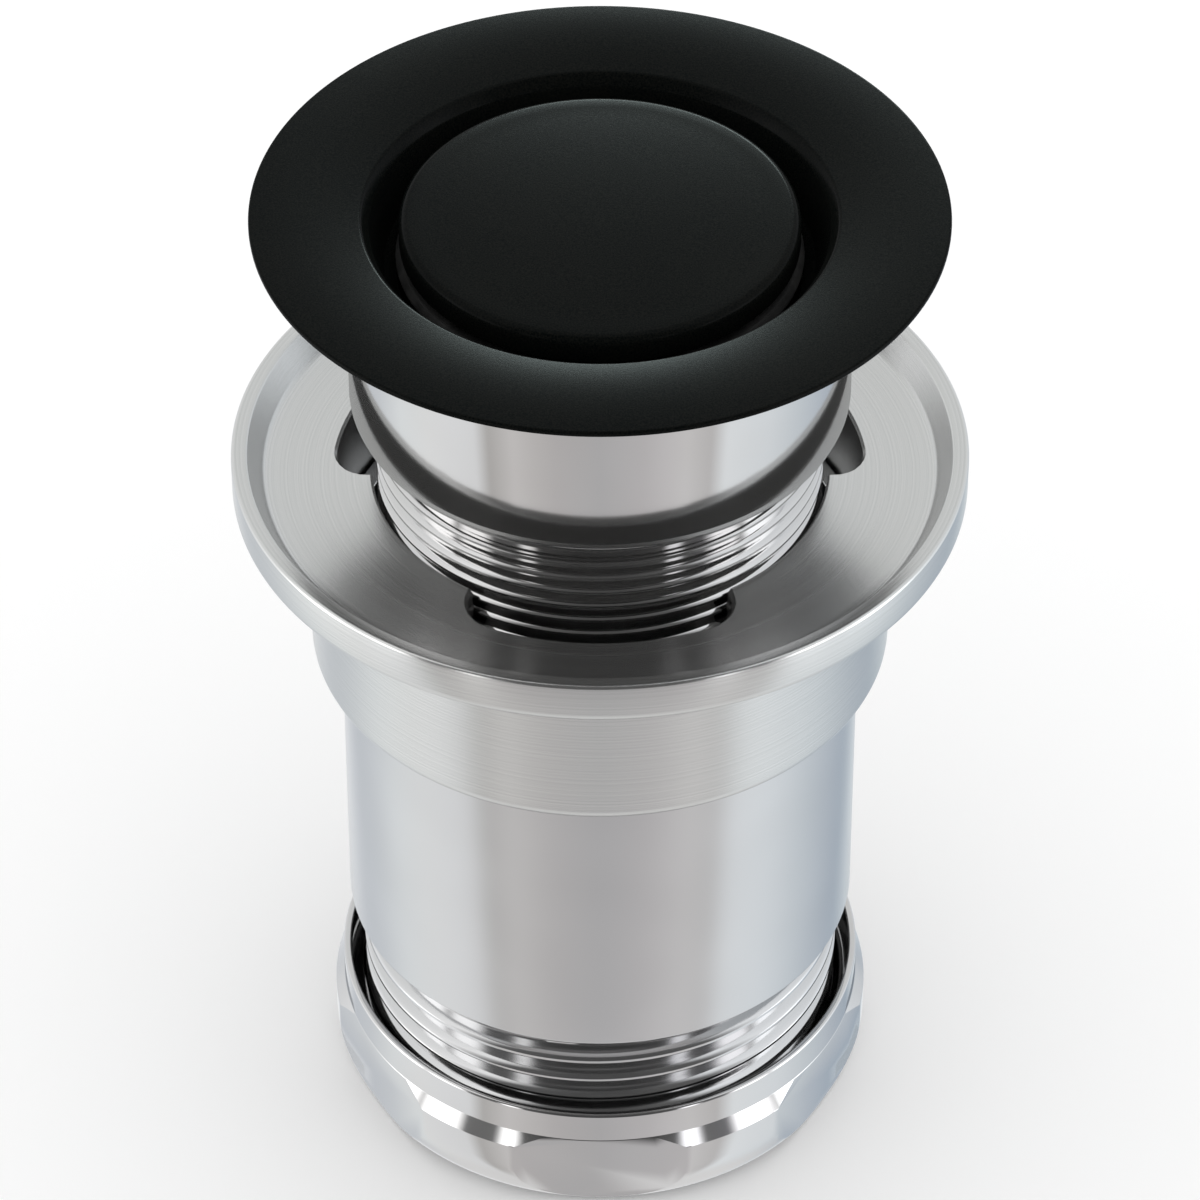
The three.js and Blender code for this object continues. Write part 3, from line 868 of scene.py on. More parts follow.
@dataclass(frozen=True)
class PolishedMetal(Finish):
    """Polished plated brass, with faint rings under the plating."""

    slot: str = "polished_metal"
    label: str = "polished_plate"
    dark: Colour = (0.83, 0.82, 0.815)
    light: Colour = (0.87, 0.865, 0.865)
    rings_per_mm: float = 3.0
    haze_per_mm: float = 0.12
    contrast: tuple[float, float] = (0.2, 0.8)
    roughness: float = 0.055
    ring_roughness: float = 0.03
    haze_roughness: float = 0.02
    relief: float = 0.0003

    def sockets(self, graph: Graph) -> dict[str, Value]:
        """Bright metal, sharp reflections, shallow rings.

        Args:
            graph: The material's graph.

        Returns:
            The shader's inputs by name.
        """
        rings = self.lathe_lines(graph, self.rings_per_mm)
        haze = self.grain(graph, self.haze_per_mm, 1.0)
        gloss = self.roughness + rings * self.ring_roughness + haze * self.haze_roughness
        return {
            "Base Color": self.blend(graph, haze.ramp(*self.contrast), self.dark, self.light),
            "Metallic": 1.0,
            "Roughness": gloss,
            "Normal": self.bump(graph, rings, self.relief),
        }


@dataclass(frozen=True)
class TurnedMetal(Finish):
    """Metal as the lathe left it: clear fine rings that spread light across them."""

    slot: str = "turned_metal"
    label: str = "turned_plate"
    dark: Colour = (0.80, 0.805, 0.795)
    light: Colour = (0.88, 0.88, 0.87)
    rings_per_mm: float = 6.0
    ring_detail: float = 4.0
    broad_per_mm: float = 0.9
    contrast: tuple[float, float] = (0.3, 0.7)
    roughness: float = 0.19
    ring_roughness: float = 0.08
    broad_roughness: float = 0.04
    spread: float = 0.75
    spread_turn: float = 0.25  # in turns: across the rings
    relief: float = 0.0025

    def sockets(self, graph: Graph) -> dict[str, Value]:
        """Bright metal with deeper rings and a varied gloss.

        Args:
            graph: The material's graph.

        Returns:
            The shader's inputs by name.
        """
        rings = self.lathe_lines(graph, self.rings_per_mm, self.ring_detail)
        broad = self.lathe_lines(graph, self.broad_per_mm, 1.0)
        gloss = self.roughness + rings * self.ring_roughness + broad * self.broad_roughness
        return {
            "Base Color": self.blend(graph, rings.ramp(*self.contrast), self.dark, self.light),
            "Metallic": 1.0,
            "Roughness": gloss,
            "Anisotropic": self.spread,
            "Anisotropic Rotation": self.spread_turn,
            "Normal": self.bump(graph, rings, self.relief),
        }


@dataclass(frozen=True)
class SatinTube(Finish):
    """Satin bright tube, softly blurred above its glossier cut thread."""

    slot: str = "satin_tube"
    label: str = "satin_tube_plate"
    thread_top: float = 18.9  # where the gloss starts to change, just above the cut thread
    dark: Colour = (0.83, 0.83, 0.835)
    light: Colour = (0.87, 0.87, 0.875)
    rings_per_mm: float = 5.0
    haze_per_mm: float = 0.1
    contrast: tuple[float, float] = (0.2, 0.8)
    change: float = 0.3  # height over which the gloss changes above the thread
    roughness: float = 0.08
    tube_roughness: float = 0.12
    haze_roughness: float = 0.03
    ring_roughness: float = 0.03
    relief: float = 0.0004

    def sockets(self, graph: Graph) -> dict[str, Value]:
        """Bright metal with a soft gloss and very shallow rings.

        Args:
            graph: The material's graph.

        Returns:
            The shader's inputs by name.
        """
        rings = self.lathe_lines(graph, self.rings_per_mm)
        haze = self.grain(graph, self.haze_per_mm, 1.0)
        level = graph.node("ShaderNodeSeparateXYZ", None, [self.place(graph)], "Z") * PER_METRE
        drawn = level.ramp(self.thread_top, self.thread_top + self.change)
        gloss = self.roughness + drawn * self.tube_roughness
        return {
            "Base Color": self.blend(graph, haze.ramp(*self.contrast), self.dark, self.light),
            "Metallic": 1.0,
            "Roughness": gloss + haze * self.haze_roughness + rings * self.ring_roughness,
            "Normal": self.bump(graph, rings, self.relief),
        }


@dataclass(frozen=True)
class BlackRubber(Finish):
    """Moulded black rubber, with a dusty bloom."""

    slot: str = "black_rubber"
    label: str = "moulded_rubber"
    dark: Colour = (0.010, 0.010, 0.010)
    light: Colour = (0.028, 0.028, 0.027)
    grain_per_mm: float = 6.0
    bloom_per_mm: float = 0.35
    contrast: tuple[float, float] = (0.35, 0.75)
    roughness: float = 0.62
    bloom_roughness: float = 0.2
    specular: float = 0.35
    relief: float = 0.012

    def sockets(self, graph: Graph) -> dict[str, Value]:
        """Dull black with bloom and fine relief.

        Args:
            graph: The material's graph.

        Returns:
            The shader's inputs by name.
        """
        fine, bloom = self.grain(graph, self.grain_per_mm), self.grain(graph, self.bloom_per_mm)
        return {
            "Base Color": self.blend(graph, bloom.ramp(*self.contrast), self.dark, self.light),
            "Roughness": self.roughness + bloom * self.bloom_roughness,
            "Specular IOR Level": self.specular,
            "Normal": self.bump(graph, fine, self.relief),
        }


@dataclass(frozen=True)
class MouldedPlastic(Finish):
    """Moulded plastic with a faint surface ripple; each colour has its own slot."""

    slot: str = "white_plastic"
    label: str = "white_moulding"
    dark: Colour = (0.70, 0.69, 0.66)
    light: Colour = (0.78, 0.77, 0.74)
    flow_per_mm: float = 0.2
    grain_per_mm: float = 4.0
    contrast: tuple[float, float] = (0.3, 0.7)
    roughness: float = 0.38
    flow_roughness: float = 0.1
    relief: float = 0.004

    def sockets(self, graph: Graph) -> dict[str, Value]:
        """Plastic with small changes of colour and gloss.

        Args:
            graph: The material's graph.

        Returns:
            The shader's inputs by name.
        """
        flow, fine = self.grain(graph, self.flow_per_mm), self.grain(graph, self.grain_per_mm)
        return {
            "Base Color": self.blend(graph, flow.ramp(*self.contrast), self.dark, self.light),
            "Roughness": self.roughness + flow * self.flow_roughness,
            "Normal": self.bump(graph, fine, self.relief),
        }


@dataclass(frozen=True)
class DrawnSteel(Finish):
    """Drawn spring wire and turned pin steel."""

    slot: str = "spring_steel"
    label: str = "drawn_steel"
    dark: Colour = (0.44, 0.445, 0.45)
    light: Colour = (0.60, 0.605, 0.61)
    marks_per_mm: float = 2.5
    mark_detail: float = 4.0
    contrast: tuple[float, float] = (0.3, 0.7)
    roughness: float = 0.24
    mark_roughness: float = 0.14
    relief: float = 0.003

    def sockets(self, graph: Graph) -> dict[str, Value]:
        """Greyer metal with draw marks.

        Args:
            graph: The material's graph.

        Returns:
            The shader's inputs by name.
        """
        marks = self.grain(graph, self.marks_per_mm, self.mark_detail)
        return {
            "Base Color": self.blend(graph, marks.ramp(*self.contrast), self.dark, self.light),
            "Metallic": 1.0,
            "Roughness": self.roughness + marks * self.mark_roughness,
            "Normal": self.bump(graph, marks, self.relief),
        }


COAT = MattCoat()
POLISHED = PolishedMetal()
TURNED = TurnedMetal()
SATIN = SatinTube()
RUBBER = BlackRubber()
WHITE_PLASTIC = MouldedPlastic()
GREY_PLASTIC = MouldedPlastic(
    slot="grey_plastic", label="grey_moulding", dark=(0.19, 0.195, 0.19), light=(0.24, 0.245, 0.24)
)
STEEL = DrawnSteel()


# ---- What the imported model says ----


@dataclass(frozen=True)
class Span:
    """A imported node's foot, top and outer radius, in millimetres."""

    foot: float
    top: float
    radius: float

    @classmethod
    def of(cls, node: str) -> "Span":
        """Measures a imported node, by its name."""
        low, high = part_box(node)
        return cls(low.z / MM, high.z / MM, max(high.x, high.y) / MM)


class Body(Enum):
    """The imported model's bodies."""

    LOWER = "lower_body"
    RINGS = "nut_rings"
    NUT = "nut"
    GASKET = "gasket"
    UPPER = "upper_body"
    PLUG = "plug"
    ROTOR = "rotor"


def finish_piece(piece: bpy.types.Object, finish: Finish, body: Body | None, node: str) -> None:
    """Dresses a piece, says what it stands for, and puts it on its body.

    Args:
        piece: The piece, with its shape done.
        finish: Its finish.
        body: The body that it moves with, or None, which leaves it on no body.
        node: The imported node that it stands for.
    """
    material = finish.material()
    piece.data.materials.clear()
    piece.data.materials.append(material)
    piece.data.polygons.foreach_set("material_index", [0] * len(piece.data.polygons))
    smooth(piece)
    if body:
        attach(piece, body.value)
    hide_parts(node)
    LOG.info("%s: %d faces, for %s", piece.name, len(piece.data.polygons), node)


@dataclass
class Workshop:
    """The winders and cutters that the sub-assemblies share."""

    threads: ThreadWinder = field(default_factory=ThreadWinder)
    ring_cuts: RingCutter = field(default_factory=RingCutter)
    coils: CoilWinder = field(default_factory=CoilWinder)
    flat_cut_depth: float = 12.0

    def hexagon_cut(
        self, piece: bpy.types.Object, across_flats: float, foot: float, top: float, finish: Finish
    ) -> bpy.types.Object:
        """Mills six flats on a turned piece, the first towards -Y.

        Args:
            piece: The turned piece.
            across_flats: The distance between two opposite flats.
            foot: The flats' lowest level.
            top: Their highest level.
            finish: The finish of the piece.

        Returns:
            The same piece.
        """
        near, half = -across_flats / 2, across_flats
        far = near - self.flat_cut_depth
        ring = [(-half, far), (half, far), (half, near), (-half, near)]
        block = prism("flat_cutter", [[(x, y, z) for x, y in ring] for z in (foot, top)])
        return self.ring_cuts.cut(piece, block, 6, finish.material())


# ---- The sub-assemblies ----


@dataclass
class TopFlange:
    """The black flange with its funnel, and the gasket under it."""

    plate: float = 1.1
    edge: float = 0.6
    fall: float = 0.35
    funnel: float = 19.5
    funnel_foot: float = 17.7
    roll: float = 0.7
    roll_depth: float = 1.0
    seat_bore: float = 16.6
    seat_land: float = 0.4
    seat_slope: float = 0.6
    skirt: float = 19.55
    undercut: float = 3.0
    gasket_bore: float = 21.15
    rim_step: float = 0.2  # the rim's lower edge, in from its outside
    rim_rise: float = 0.15  # and up to it
    funnel_round: float = 0.4
    roll_round: float = 0.8

    def build(self) -> None:
        """Makes the flange and its gasket."""
        span = Span.of("top_flange")
        edge, top, foot = span.radius, span.top, span.foot
        under = top - self.plate
        seat_top = foot + self.seat_land + self.seat_slope
        outline = [
            Corner(self.seat_bore, foot, CRISP), Corner(self.skirt, foot, SOFT),
            Corner(self.skirt, under, EASED), Corner(edge - self.undercut, under, BROAD),
            Corner(edge - self.rim_step, top - self.edge, BROKEN),
            Corner(edge, top - self.edge + self.rim_rise, EASED), Corner(edge, top, GENTLE),
            Corner(self.funnel, top - self.fall, self.funnel_round),
            Corner(self.funnel - self.roll, top - self.fall - self.roll_depth, self.roll_round),
            Corner(self.funnel_foot, seat_top, SOFT),
            Corner(self.seat_bore, seat_top - self.seat_slope, BROKEN),
        ]
        finish_piece(turned("coated_flange", outline, WIDE_SIDES), COAT, Body.UPPER, "top_flange")
        washer = Span.of("flange_gasket")
        ring = [
            Corner(self.gasket_bore, washer.foot, BROKEN), Corner(washer.radius, washer.foot, SOFT),
            Corner(washer.radius, washer.top, SOFT), Corner(self.gasket_bore, washer.top, BROKEN),
        ]
        finish_piece(turned("flange_washer", ring), RUBBER, Body.GASKET, "flange_gasket")


@dataclass
class Neck:
    """The polished neck with its fine thread, and the cross and boss in its bore."""

    bore: float = 16.8
    rim_bore: float = 19.85
    shoulder_level: float = 18.0  # below the top face
    shoulder_round: float = 2.3
    ledge_drop: float = 5.1
    crest: float = 18.75
    depth: float = 0.85
    pitch: float = 1.5
    boss_drop: float = 13.5
    boss_radius: float = 7.5
    boss_height: float = 6.5
    boss_bore: float = 5.35
    arm_width: float = 2.8
    arm_height: float = 4.5
    arm_round: float = 0.6
    arm_steps: int = 4  # in the rounding of one edge
    arm_fuse: float = 0.3  # how far an arm runs into the wall
    boss_foot_round: float = 0.4
    boss_top_round: float = 0.6
    thread_relief: float = 0.3
    thread_rows: int = 14
    sides: int = 128
    steps: int = 8

    def build(self, shop: Workshop) -> None:
        """Makes the neck.

        Args:
            shop: The winders and cutters.
        """
        span = Span.of("neck_body")
        shoulder = span.top - self.shoulder_level
        thread_top = shoulder - self.thread_relief
        thread = Thread(
            self.crest, self.depth, self.pitch, span.foot, thread_top, self.thread_rows
        )
        ledge = span.top - self.ledge_drop
        outline = [
            Corner(self.bore, span.foot, EASED), thread, Corner(thread.root, shoulder, BROKEN),
            Corner(span.radius, shoulder, self.shoulder_round), Corner(span.radius, span.top, BROKEN),
            Corner(self.rim_bore, span.top, BROKEN), Corner(self.rim_bore, ledge),
            Corner(self.bore, ledge, EASED),
        ]
        blank = turned("threaded_neck", outline, self.sides, self.steps)
        shell = shop.threads.wind(blank, thread, POLISHED.material())
        boss_top = span.top - self.boss_drop
        boss_foot = boss_top - self.boss_height
        for angle in (math.pi / 4, 3 * math.pi / 4):
            shell = joined(shell, self._arm(angle, boss_foot), Join.ADD)
        boss = turned("boss", [
            Corner(0, boss_foot), Corner(self.boss_radius, boss_foot, self.boss_foot_round),
            Corner(self.boss_radius, boss_top, self.boss_top_round), Corner(0, boss_top),
        ], SMALL_SIDES)
        shell = joined(shell, boss, Join.ADD)
        low, high = boss_foot - CUT_PAST, boss_top + CUT_PAST
        bore = turned("boss_bore", [
            Corner(0, low), Corner(self.boss_bore, low), Corner(self.boss_bore, high), Corner(0, high),
        ], SMALL_SIDES)
        finish_piece(joined(shell, bore, Join.CUT), POLISHED, Body.UPPER, "neck_body")

    def _arm(self, angle: float, boss_foot: float) -> bpy.types.Object:
        """One arm of the cross, right across the bore, with rounded long edges.

        Args:
            angle: The arm's direction, from X.
            boss_foot: The level of the boss's foot.

        Returns:
            The arm as a solid.
        """
        middle = boss_foot + self.boss_height / 2
        half_width, half_height, ease = self.arm_width / 2, self.arm_height / 2, self.arm_round
        section = []
        for start, (sx, sz) in zip((0, 90, 180, 270), ((1, 1), (-1, 1), (-1, -1), (1, -1))):
            for step in range(self.arm_steps + 1):
                turn = math.radians(start + step * 90 / self.arm_steps)
                section.append((
                    sx * (half_width - ease) + ease * math.cos(turn),
                    middle + sz * (half_height - ease) + ease * math.sin(turn),
                ))
        reach = self.bore + self.arm_fuse
        cosine, sine = math.cos(angle), math.sin(angle)
        rings = [
            [(cosine * x - sine * y, sine * x + cosine * y, z) for y, z in section]
            for x in (-reach, reach)
        ]
        return prism("cross_arm", rings)


@dataclass
class Plug:
    """The coated cap, the carrier with its seal, and the stem that the click cartridge holds."""

    DOME_SHARES = (0.94, 0.85, 0.7, 0.5, 0.3, 0.12)  # of the radius, where the dome has its points

    cap_height: float = 2.4
    cap_round: float = 0.8
    dome: float = 0.4
    skirt_wall: float = 1.0
    groove_depth: float = 1.2
    boss_radius: float = 4.5
    boss_round: float = 0.6
    lower_rim: float = 0.5
    stem: float = 2.3
    pin: float = 1.3
    groove: float = 0.9
    seal_taper: float = 0.5
    cap_steps: int = 8

    def build(self) -> None:
        """Makes the plug's pieces."""
        self._cap()
        self._carrier()
        self._stem()

    def _cap(self) -> None:
        """The coated cap, slightly domed, with a rounded edge."""
        span = Span.of("plug_cap")
        edge_top = span.top - self.dome
        inner = span.radius - self.skirt_wall
        ceiling = edge_top - self.cap_height / 2
        outline = [
            Corner(0, ceiling), Corner(inner, ceiling, SOFT), Corner(inner, span.foot, CRISP),
            Corner(span.radius, span.foot, BROKEN), Corner(span.radius, edge_top, self.cap_round),
        ]
        across = span.radius - self.cap_round
        outline += [Corner(across * s, edge_top + self.dome * (1 - s * s)) for s in self.DOME_SHARES]
        outline.append(Corner(0, span.top))
        cap = turned("coated_plug_cap", outline, WIDE_SIDES, self.cap_steps)
        finish_piece(cap, COAT, Body.PLUG, "plug_cap")

    def _carrier(self) -> None:
        """The moulded carrier and the seal in its groove."""
        span, seal = Span.of("plug_carrier"), Span.of("plug_seal")
        rim, groove = span.radius, span.radius - self.groove_depth
        bore, stem_top = self.stem + GAP, Span.of("plug_stem").top
        foot = seal.foot - GAP - self.lower_rim
        outline = [
            Corner(0, stem_top + GAP), Corner(bore, stem_top + GAP), Corner(bore, span.foot, EASED),
            Corner(self.boss_radius, span.foot, BROAD), Corner(self.boss_radius, foot, self.boss_round),
            Corner(rim, foot, EASED), Corner(rim, seal.foot - GAP / 3, CRISP),
            Corner(groove, seal.foot - GAP / 3), Corner(groove, seal.top + GAP / 3),
            Corner(rim, seal.top + GAP / 3, CRISP), Corner(rim, span.top, SOFT), Corner(0, span.top),
        ]
        finish_piece(turned("plug_carrier_moulding", outline), GREY_PLASTIC, Body.PLUG, "plug_carrier")
        inner = groove + GAP / 3
        ring = [
            Corner(inner, seal.foot, CRISP), Corner(seal.radius - self.seal_taper, seal.foot, SOFT),
            Corner(seal.radius, (seal.foot + seal.top) / 2, SOFT),
            Corner(seal.radius - self.seal_taper, seal.top, SOFT), Corner(inner, seal.top, CRISP),
        ]
        finish_piece(turned("plug_seal_ring", ring), RUBBER, Body.PLUG, "plug_seal")

    def _stem(self) -> None:
        """The stem, waisted for the rotor and grooved for its clip."""
        span, clip, rotor = Span.of("plug_stem"), Span.of("stem_clip"), Span.of("click_rotor")
        outline = [
            Corner(0, span.foot), Corner(self.pin, span.foot, SOFT),
            Corner(self.pin, clip.foot - GAP / 2, HAIR), Corner(self.groove, clip.foot - GAP / 2),
            Corner(self.groove, clip.top + GAP / 2), Corner(self.pin, clip.top + GAP / 2, HAIR),
            Corner(self.pin, rotor.top + GAP), Corner(self.stem, rotor.top + GAP, EASED),
            Corner(self.stem, span.top, EASED), Corner(0, span.top),
        ]
        finish_piece(turned("stem_pin", outline, PIN_SIDES), STEEL, Body.PLUG, "plug_stem")
        inner = self.groove + GAP / 2
        ring = [
            Corner(inner, clip.foot, HAIR), Corner(clip.radius, clip.foot, BROKEN),
            Corner(clip.radius, clip.top, BROKEN), Corner(inner, clip.top, HAIR),
        ]
        finish_piece(turned("stem_retaining_clip", ring, PIN_SIDES), STEEL, Body.PLUG, "stem_clip")


@dataclass
class ClickCartridge:
    """The push-to-open cartridge: barrel, O-ring, toothed guide and rotor, spring, cap and locknut."""

    bore: float = 3.9
    outer: float = 5.0
    head_height: float = 2.2
    top_wall: float = 0.8
    stem: float = 2.3
    slide: float = 0.4
    ring_section: float = 1.0
    pin: float = 1.3
    teeth: int = 8
    tooth_height: float = 0.8
    turns: float = 5.0
    wire: float = 0.25
    cap_bore: float = 1.2
    cap_rim: float = 1.0
    cap_play: float = 0.05
    locknut_flats: float = 15.0
    locknut_play: float = 0.2
    chamfer_in: float = 0.2
    chamfer_rise: float = 0.6
    ring_points: int = 16

    def build(self, shop: Workshop) -> None:
        """Makes the cartridge.

        Args:
            shop: The winders and cutters.
        """
        self._barrel()
        self._toothed(shop, "toothed_guide", "click_guide", GREY_PLASTIC, Body.UPPER)
        self._toothed(shop, "toothed_rotor", "click_rotor", WHITE_PLASTIC, Body.ROTOR)
        self._spring(shop)
        self._locknut(shop)

    def _barrel(self) -> None:
        """The barrel, the O-ring in its mouth and the cap on its foot."""
        span = Span.of("click_barrel")
        head_foot = span.top - self.head_height
        ring_room = self.stem + 2 * GAP + self.ring_section
        wall_top = head_foot + self.top_wall
        hole = self.stem + self.slide
        outline = [
            Corner(self.bore, span.foot, BROKEN), Corner(self.outer, span.foot, EASED),
            Corner(self.outer, head_foot, EASED), Corner(span.radius, head_foot, EASED),
            Corner(span.radius, span.top, BROAD), Corner(ring_room, span.top, EASED),
            Corner(ring_room, wall_top), Corner(hole, wall_top, CRISP), Corner(hole, head_foot),
            Corner(self.bore, head_foot),
        ]
        barrel = turned("cartridge_barrel", outline, SMALL_SIDES)
        finish_piece(barrel, WHITE_PLASTIC, Body.UPPER, "click_barrel")
        ring = Span.of("stem_o_ring")
        middle, level = self.stem + GAP + self.ring_section / 2, (ring.foot + ring.top) / 2
        half = self.ring_section / 2
        section = [
            Corner(middle + half * math.cos(a), level + half * math.sin(a))
            for a in (FULL_TURN * i / self.ring_points for i in range(self.ring_points))
        ]
        finish_piece(turned("o_ring", section, PIN_SIDES), RUBBER, Body.UPPER, "stem_o_ring")
        cap = Span.of("barrel_cap")
        plug, rim_top = self.bore - self.cap_play, cap.foot + self.cap_rim
        cap_outline = [
            Corner(self.cap_bore, cap.foot, BROKEN), Corner(self.outer, cap.foot, SOFT),
            Corner(self.outer, rim_top, BROKEN), Corner(plug, rim_top), Corner(plug, cap.top, EASED),
            Corner(self.cap_bore, cap.top, CRISP),
        ]
        end_cap = turned("cartridge_end_cap", cap_outline, SMALL_SIDES)
        finish_piece(end_cap, GREY_PLASTIC, Body.UPPER, "barrel_cap")

    def _toothed(
        self, shop: Workshop, name: str, node: str, finish: Finish, body: Body
    ) -> None:
        """A sleeve with pointed teeth on the end that meets the other one.

        Args:
            shop: The winders and cutters.
            name: The sleeve's name.
            node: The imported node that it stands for.
            finish: Its finish.
            body: The body that it moves with; the rotor has its teeth on top.
        """
        span = Span.of(node)
        upward = body is Body.ROTOR
        inner = self.pin + GAP if upward else self.stem + self.slide
        foot_round, top_round = (BROKEN, 0.0) if upward else (0.0, BROKEN)
        outline = [
            Corner(inner, span.foot), Corner(span.radius, span.foot, foot_round),
            Corner(span.radius, span.top, top_round), Corner(inner, span.top),
        ]
        sleeve = turned(name, outline, SMALL_SIDES)
        level = span.top if upward else span.foot
        half, reach = self.tooth_height, span.radius + CUT_PAST
        diamond = [(0.0, -half), (half, 0.0), (0.0, half), (-half, 0.0)]
        notch = prism("notch", [
            [(x, y, level + z) for y, z in reversed(diamond)] for x in (0.0, reach)
        ])
        if self._inside_out(notch):
            notch.data.flip_normals()
        shop.ring_cuts.cut(sleeve, notch, self.teeth, finish.material())
        finish_piece(sleeve, finish, body, node)

    @staticmethod
    def _inside_out(piece: bpy.types.Object) -> bool:
        """Whether a closed solid's faces point inwards.

        Args:
            piece: The solid.

        Returns:
            True where its volume is below 0.
        """
        shape = bmesh.new()
        shape.from_mesh(piece.data)
        volume = shape.calc_volume(signed=True)
        shape.free()
        return volume < 0

    def _spring(self, shop: Workshop) -> None:
        """The click spring, left on no body.

        Args:
            shop: The winders and cutters.
        """
        span = Span.of("click_spring")
        spring = placed("click_coil_spring", bpy.data.meshes.new("click_coil_spring"))
        shop.coils.applied(
            spring, STEEL.material(), Turns=self.turns, Radius=(span.radius - self.wire) * MM,
            Wire=self.wire * MM, Foot=(span.foot + self.wire) * MM,
            Height=(span.top - span.foot - 2 * self.wire) * MM,
        )
        finish_piece(spring, STEEL, None, "click_spring")
        span.foot * MM
        span.top * MM
        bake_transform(spring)

    def _locknut(self, shop: Workshop) -> None:
        """The hexagonal locknut under the boss.

        Args:
            shop: The winders and cutters.
        """
        span = Span.of("barrel_locknut")
        corner, bore = self.locknut_flats / math.sqrt(3), self.outer + self.locknut_play
        face = self.locknut_flats / 2 - self.chamfer_in
        outline = [
            Corner(bore, span.foot, EASED), Corner(face, span.foot),
            Corner(corner, span.foot + self.chamfer_rise), Corner(corner, span.top - self.chamfer_rise),
            Corner(face, span.top), Corner(bore, span.top, EASED),
        ]
        nut = turned("cartridge_locknut", outline, SMALL_SIDES)
        shop.hexagon_cut(
            nut, self.locknut_flats, span.foot - CUT_PAST, span.top + CUT_PAST, POLISHED
        )
        finish_piece(nut, POLISHED, Body.UPPER, "barrel_locknut")


@dataclass
class LowerFlange:
    """The dished flange that clamps the basin from below, with three overflow slots."""

    HOLLOW_SHARES = (0.75, 0.5, 0.25, 0.0, -0.25, -0.5, -0.75)  # from the lip to the hole

    hub: float = 24.65
    hub_height: float = 16.5
    hub_foot_round: float = 1.4
    socket: float = 22.2
    socket_depth: float = 10.2
    hole: float = 19.1
    lip_width: float = 1.3
    lip_foot_slope: float = 1.4
    dish_depth: float = 2.3
    dish_hollow: float = 0.35
    slot_count: int = 3
    slot_reach: float = 22.3
    slot_radius: float = 3.2
    slot_half_angle: float = math.radians(23.6)
    slot_steps: int = 14  # in each of its four arcs
    flare: float = 0.3  # how far a slot widens at the floor, and over what height
    flare_drop: float = 0.2  # the flare's foot under the floor's lowest point
    cutter_rise: float = 5.0
    hub_fillet: float = 0.4
    lip_foot_round: float = 1.0
    floor_round: float = 0.8
    sides: int = 192
    steps: int = 6

    def build(self, shop: Workshop) -> None:
        """Makes the flange.

        Args:
            shop: The winders and cutters.
        """
        span = Span.of("lower_flange")
        lip, inner = span.radius, span.radius - self.lip_width
        floor, hub_top = span.top - self.dish_depth, span.foot + self.hub_height
        socket_top = span.foot + self.socket_depth
        edge = inner - self.lip_foot_slope
        middle = (self.hole + edge) / 2
        outline = [
            Corner(self.hole, socket_top, CRISP), Corner(self.socket, socket_top, EASED),
            Corner(self.socket, span.foot, BROKEN), Corner(self.hub, span.foot, self.hub_foot_round),
            Corner(self.hub, hub_top, self.hub_fillet), Corner(lip, hub_top, self.lip_foot_round),
            Corner(lip, span.top, SOFT),
            Corner(inner, span.top, SOFT), Corner(edge, floor, self.floor_round),
            *[
                Corner(middle + (edge - middle) * s, floor - self.dish_hollow * (1 - s * s))
                for s in self.HOLLOW_SHARES
            ],
            Corner(self.hole, floor, GENTLE),
        ]
        flange = turned("dished_flange", outline, self.sides, self.steps)
        cutter = self._slot_cutter(socket_top - CUT_PAST, floor)
        shop.ring_cuts.cut(flange, cutter, self.slot_count, TURNED.material())
        finish_piece(flange, TURNED, Body.LOWER, "lower_flange")

    def _slot_cutter(self, foot: float, floor: float) -> bpy.types.Object:
        """The cutter of the overflow slot towards -Y, flared where it leaves the dish's floor.

        Args:
            foot: The cutter's lowest level.
            floor: The level of the dish's floor at its edges.

        Returns:
            The cutter as a solid.
        """
        flare_foot = floor - self.dish_hollow - self.flare_drop
        levels = (
            (foot, 0.0), (flare_foot, 0.0), (flare_foot + self.flare, self.flare),
            (floor + self.cutter_rise, self.flare),
        )
        return prism("slot_cutter", [
            [(x, y, z) for x, y in self._slot_outline(grown)] for z, grown in levels
        ])

    def _slot_outline(self, grown: float) -> list[tuple[float, float]]:
        """The slot's outline from above, counter-clockwise.

        Args:
            grown: How far it is offset outwards.

        Returns:
            Its (x, y) points.
        """
        path, cutter = self.slot_reach - self.slot_radius, self.slot_radius + grown
        middle, half = -math.pi / 2, self.slot_half_angle
        start, end = middle - half, middle + half

        def arc(
            cx: float, cy: float, radius: float, first: float, last: float
        ) -> list[tuple[float, float]]:
            """Points of one arc round (cx, cy), from its first angle, without its last."""
            turns = [first + (last - first) * i / self.slot_steps for i in range(self.slot_steps)]
            return [(cx + radius * math.cos(a), cy + radius * math.sin(a)) for a in turns]

        return [
            *arc(0, 0, path + cutter, start, end),
            *arc(path * math.cos(end), path * math.sin(end), cutter, end, end + math.pi),
            *arc(0, 0, path - cutter, end, start),
            *arc(
                path * math.cos(start), path * math.sin(start), cutter,
                start + math.pi, start + FULL_TURN,
            ),
        ]


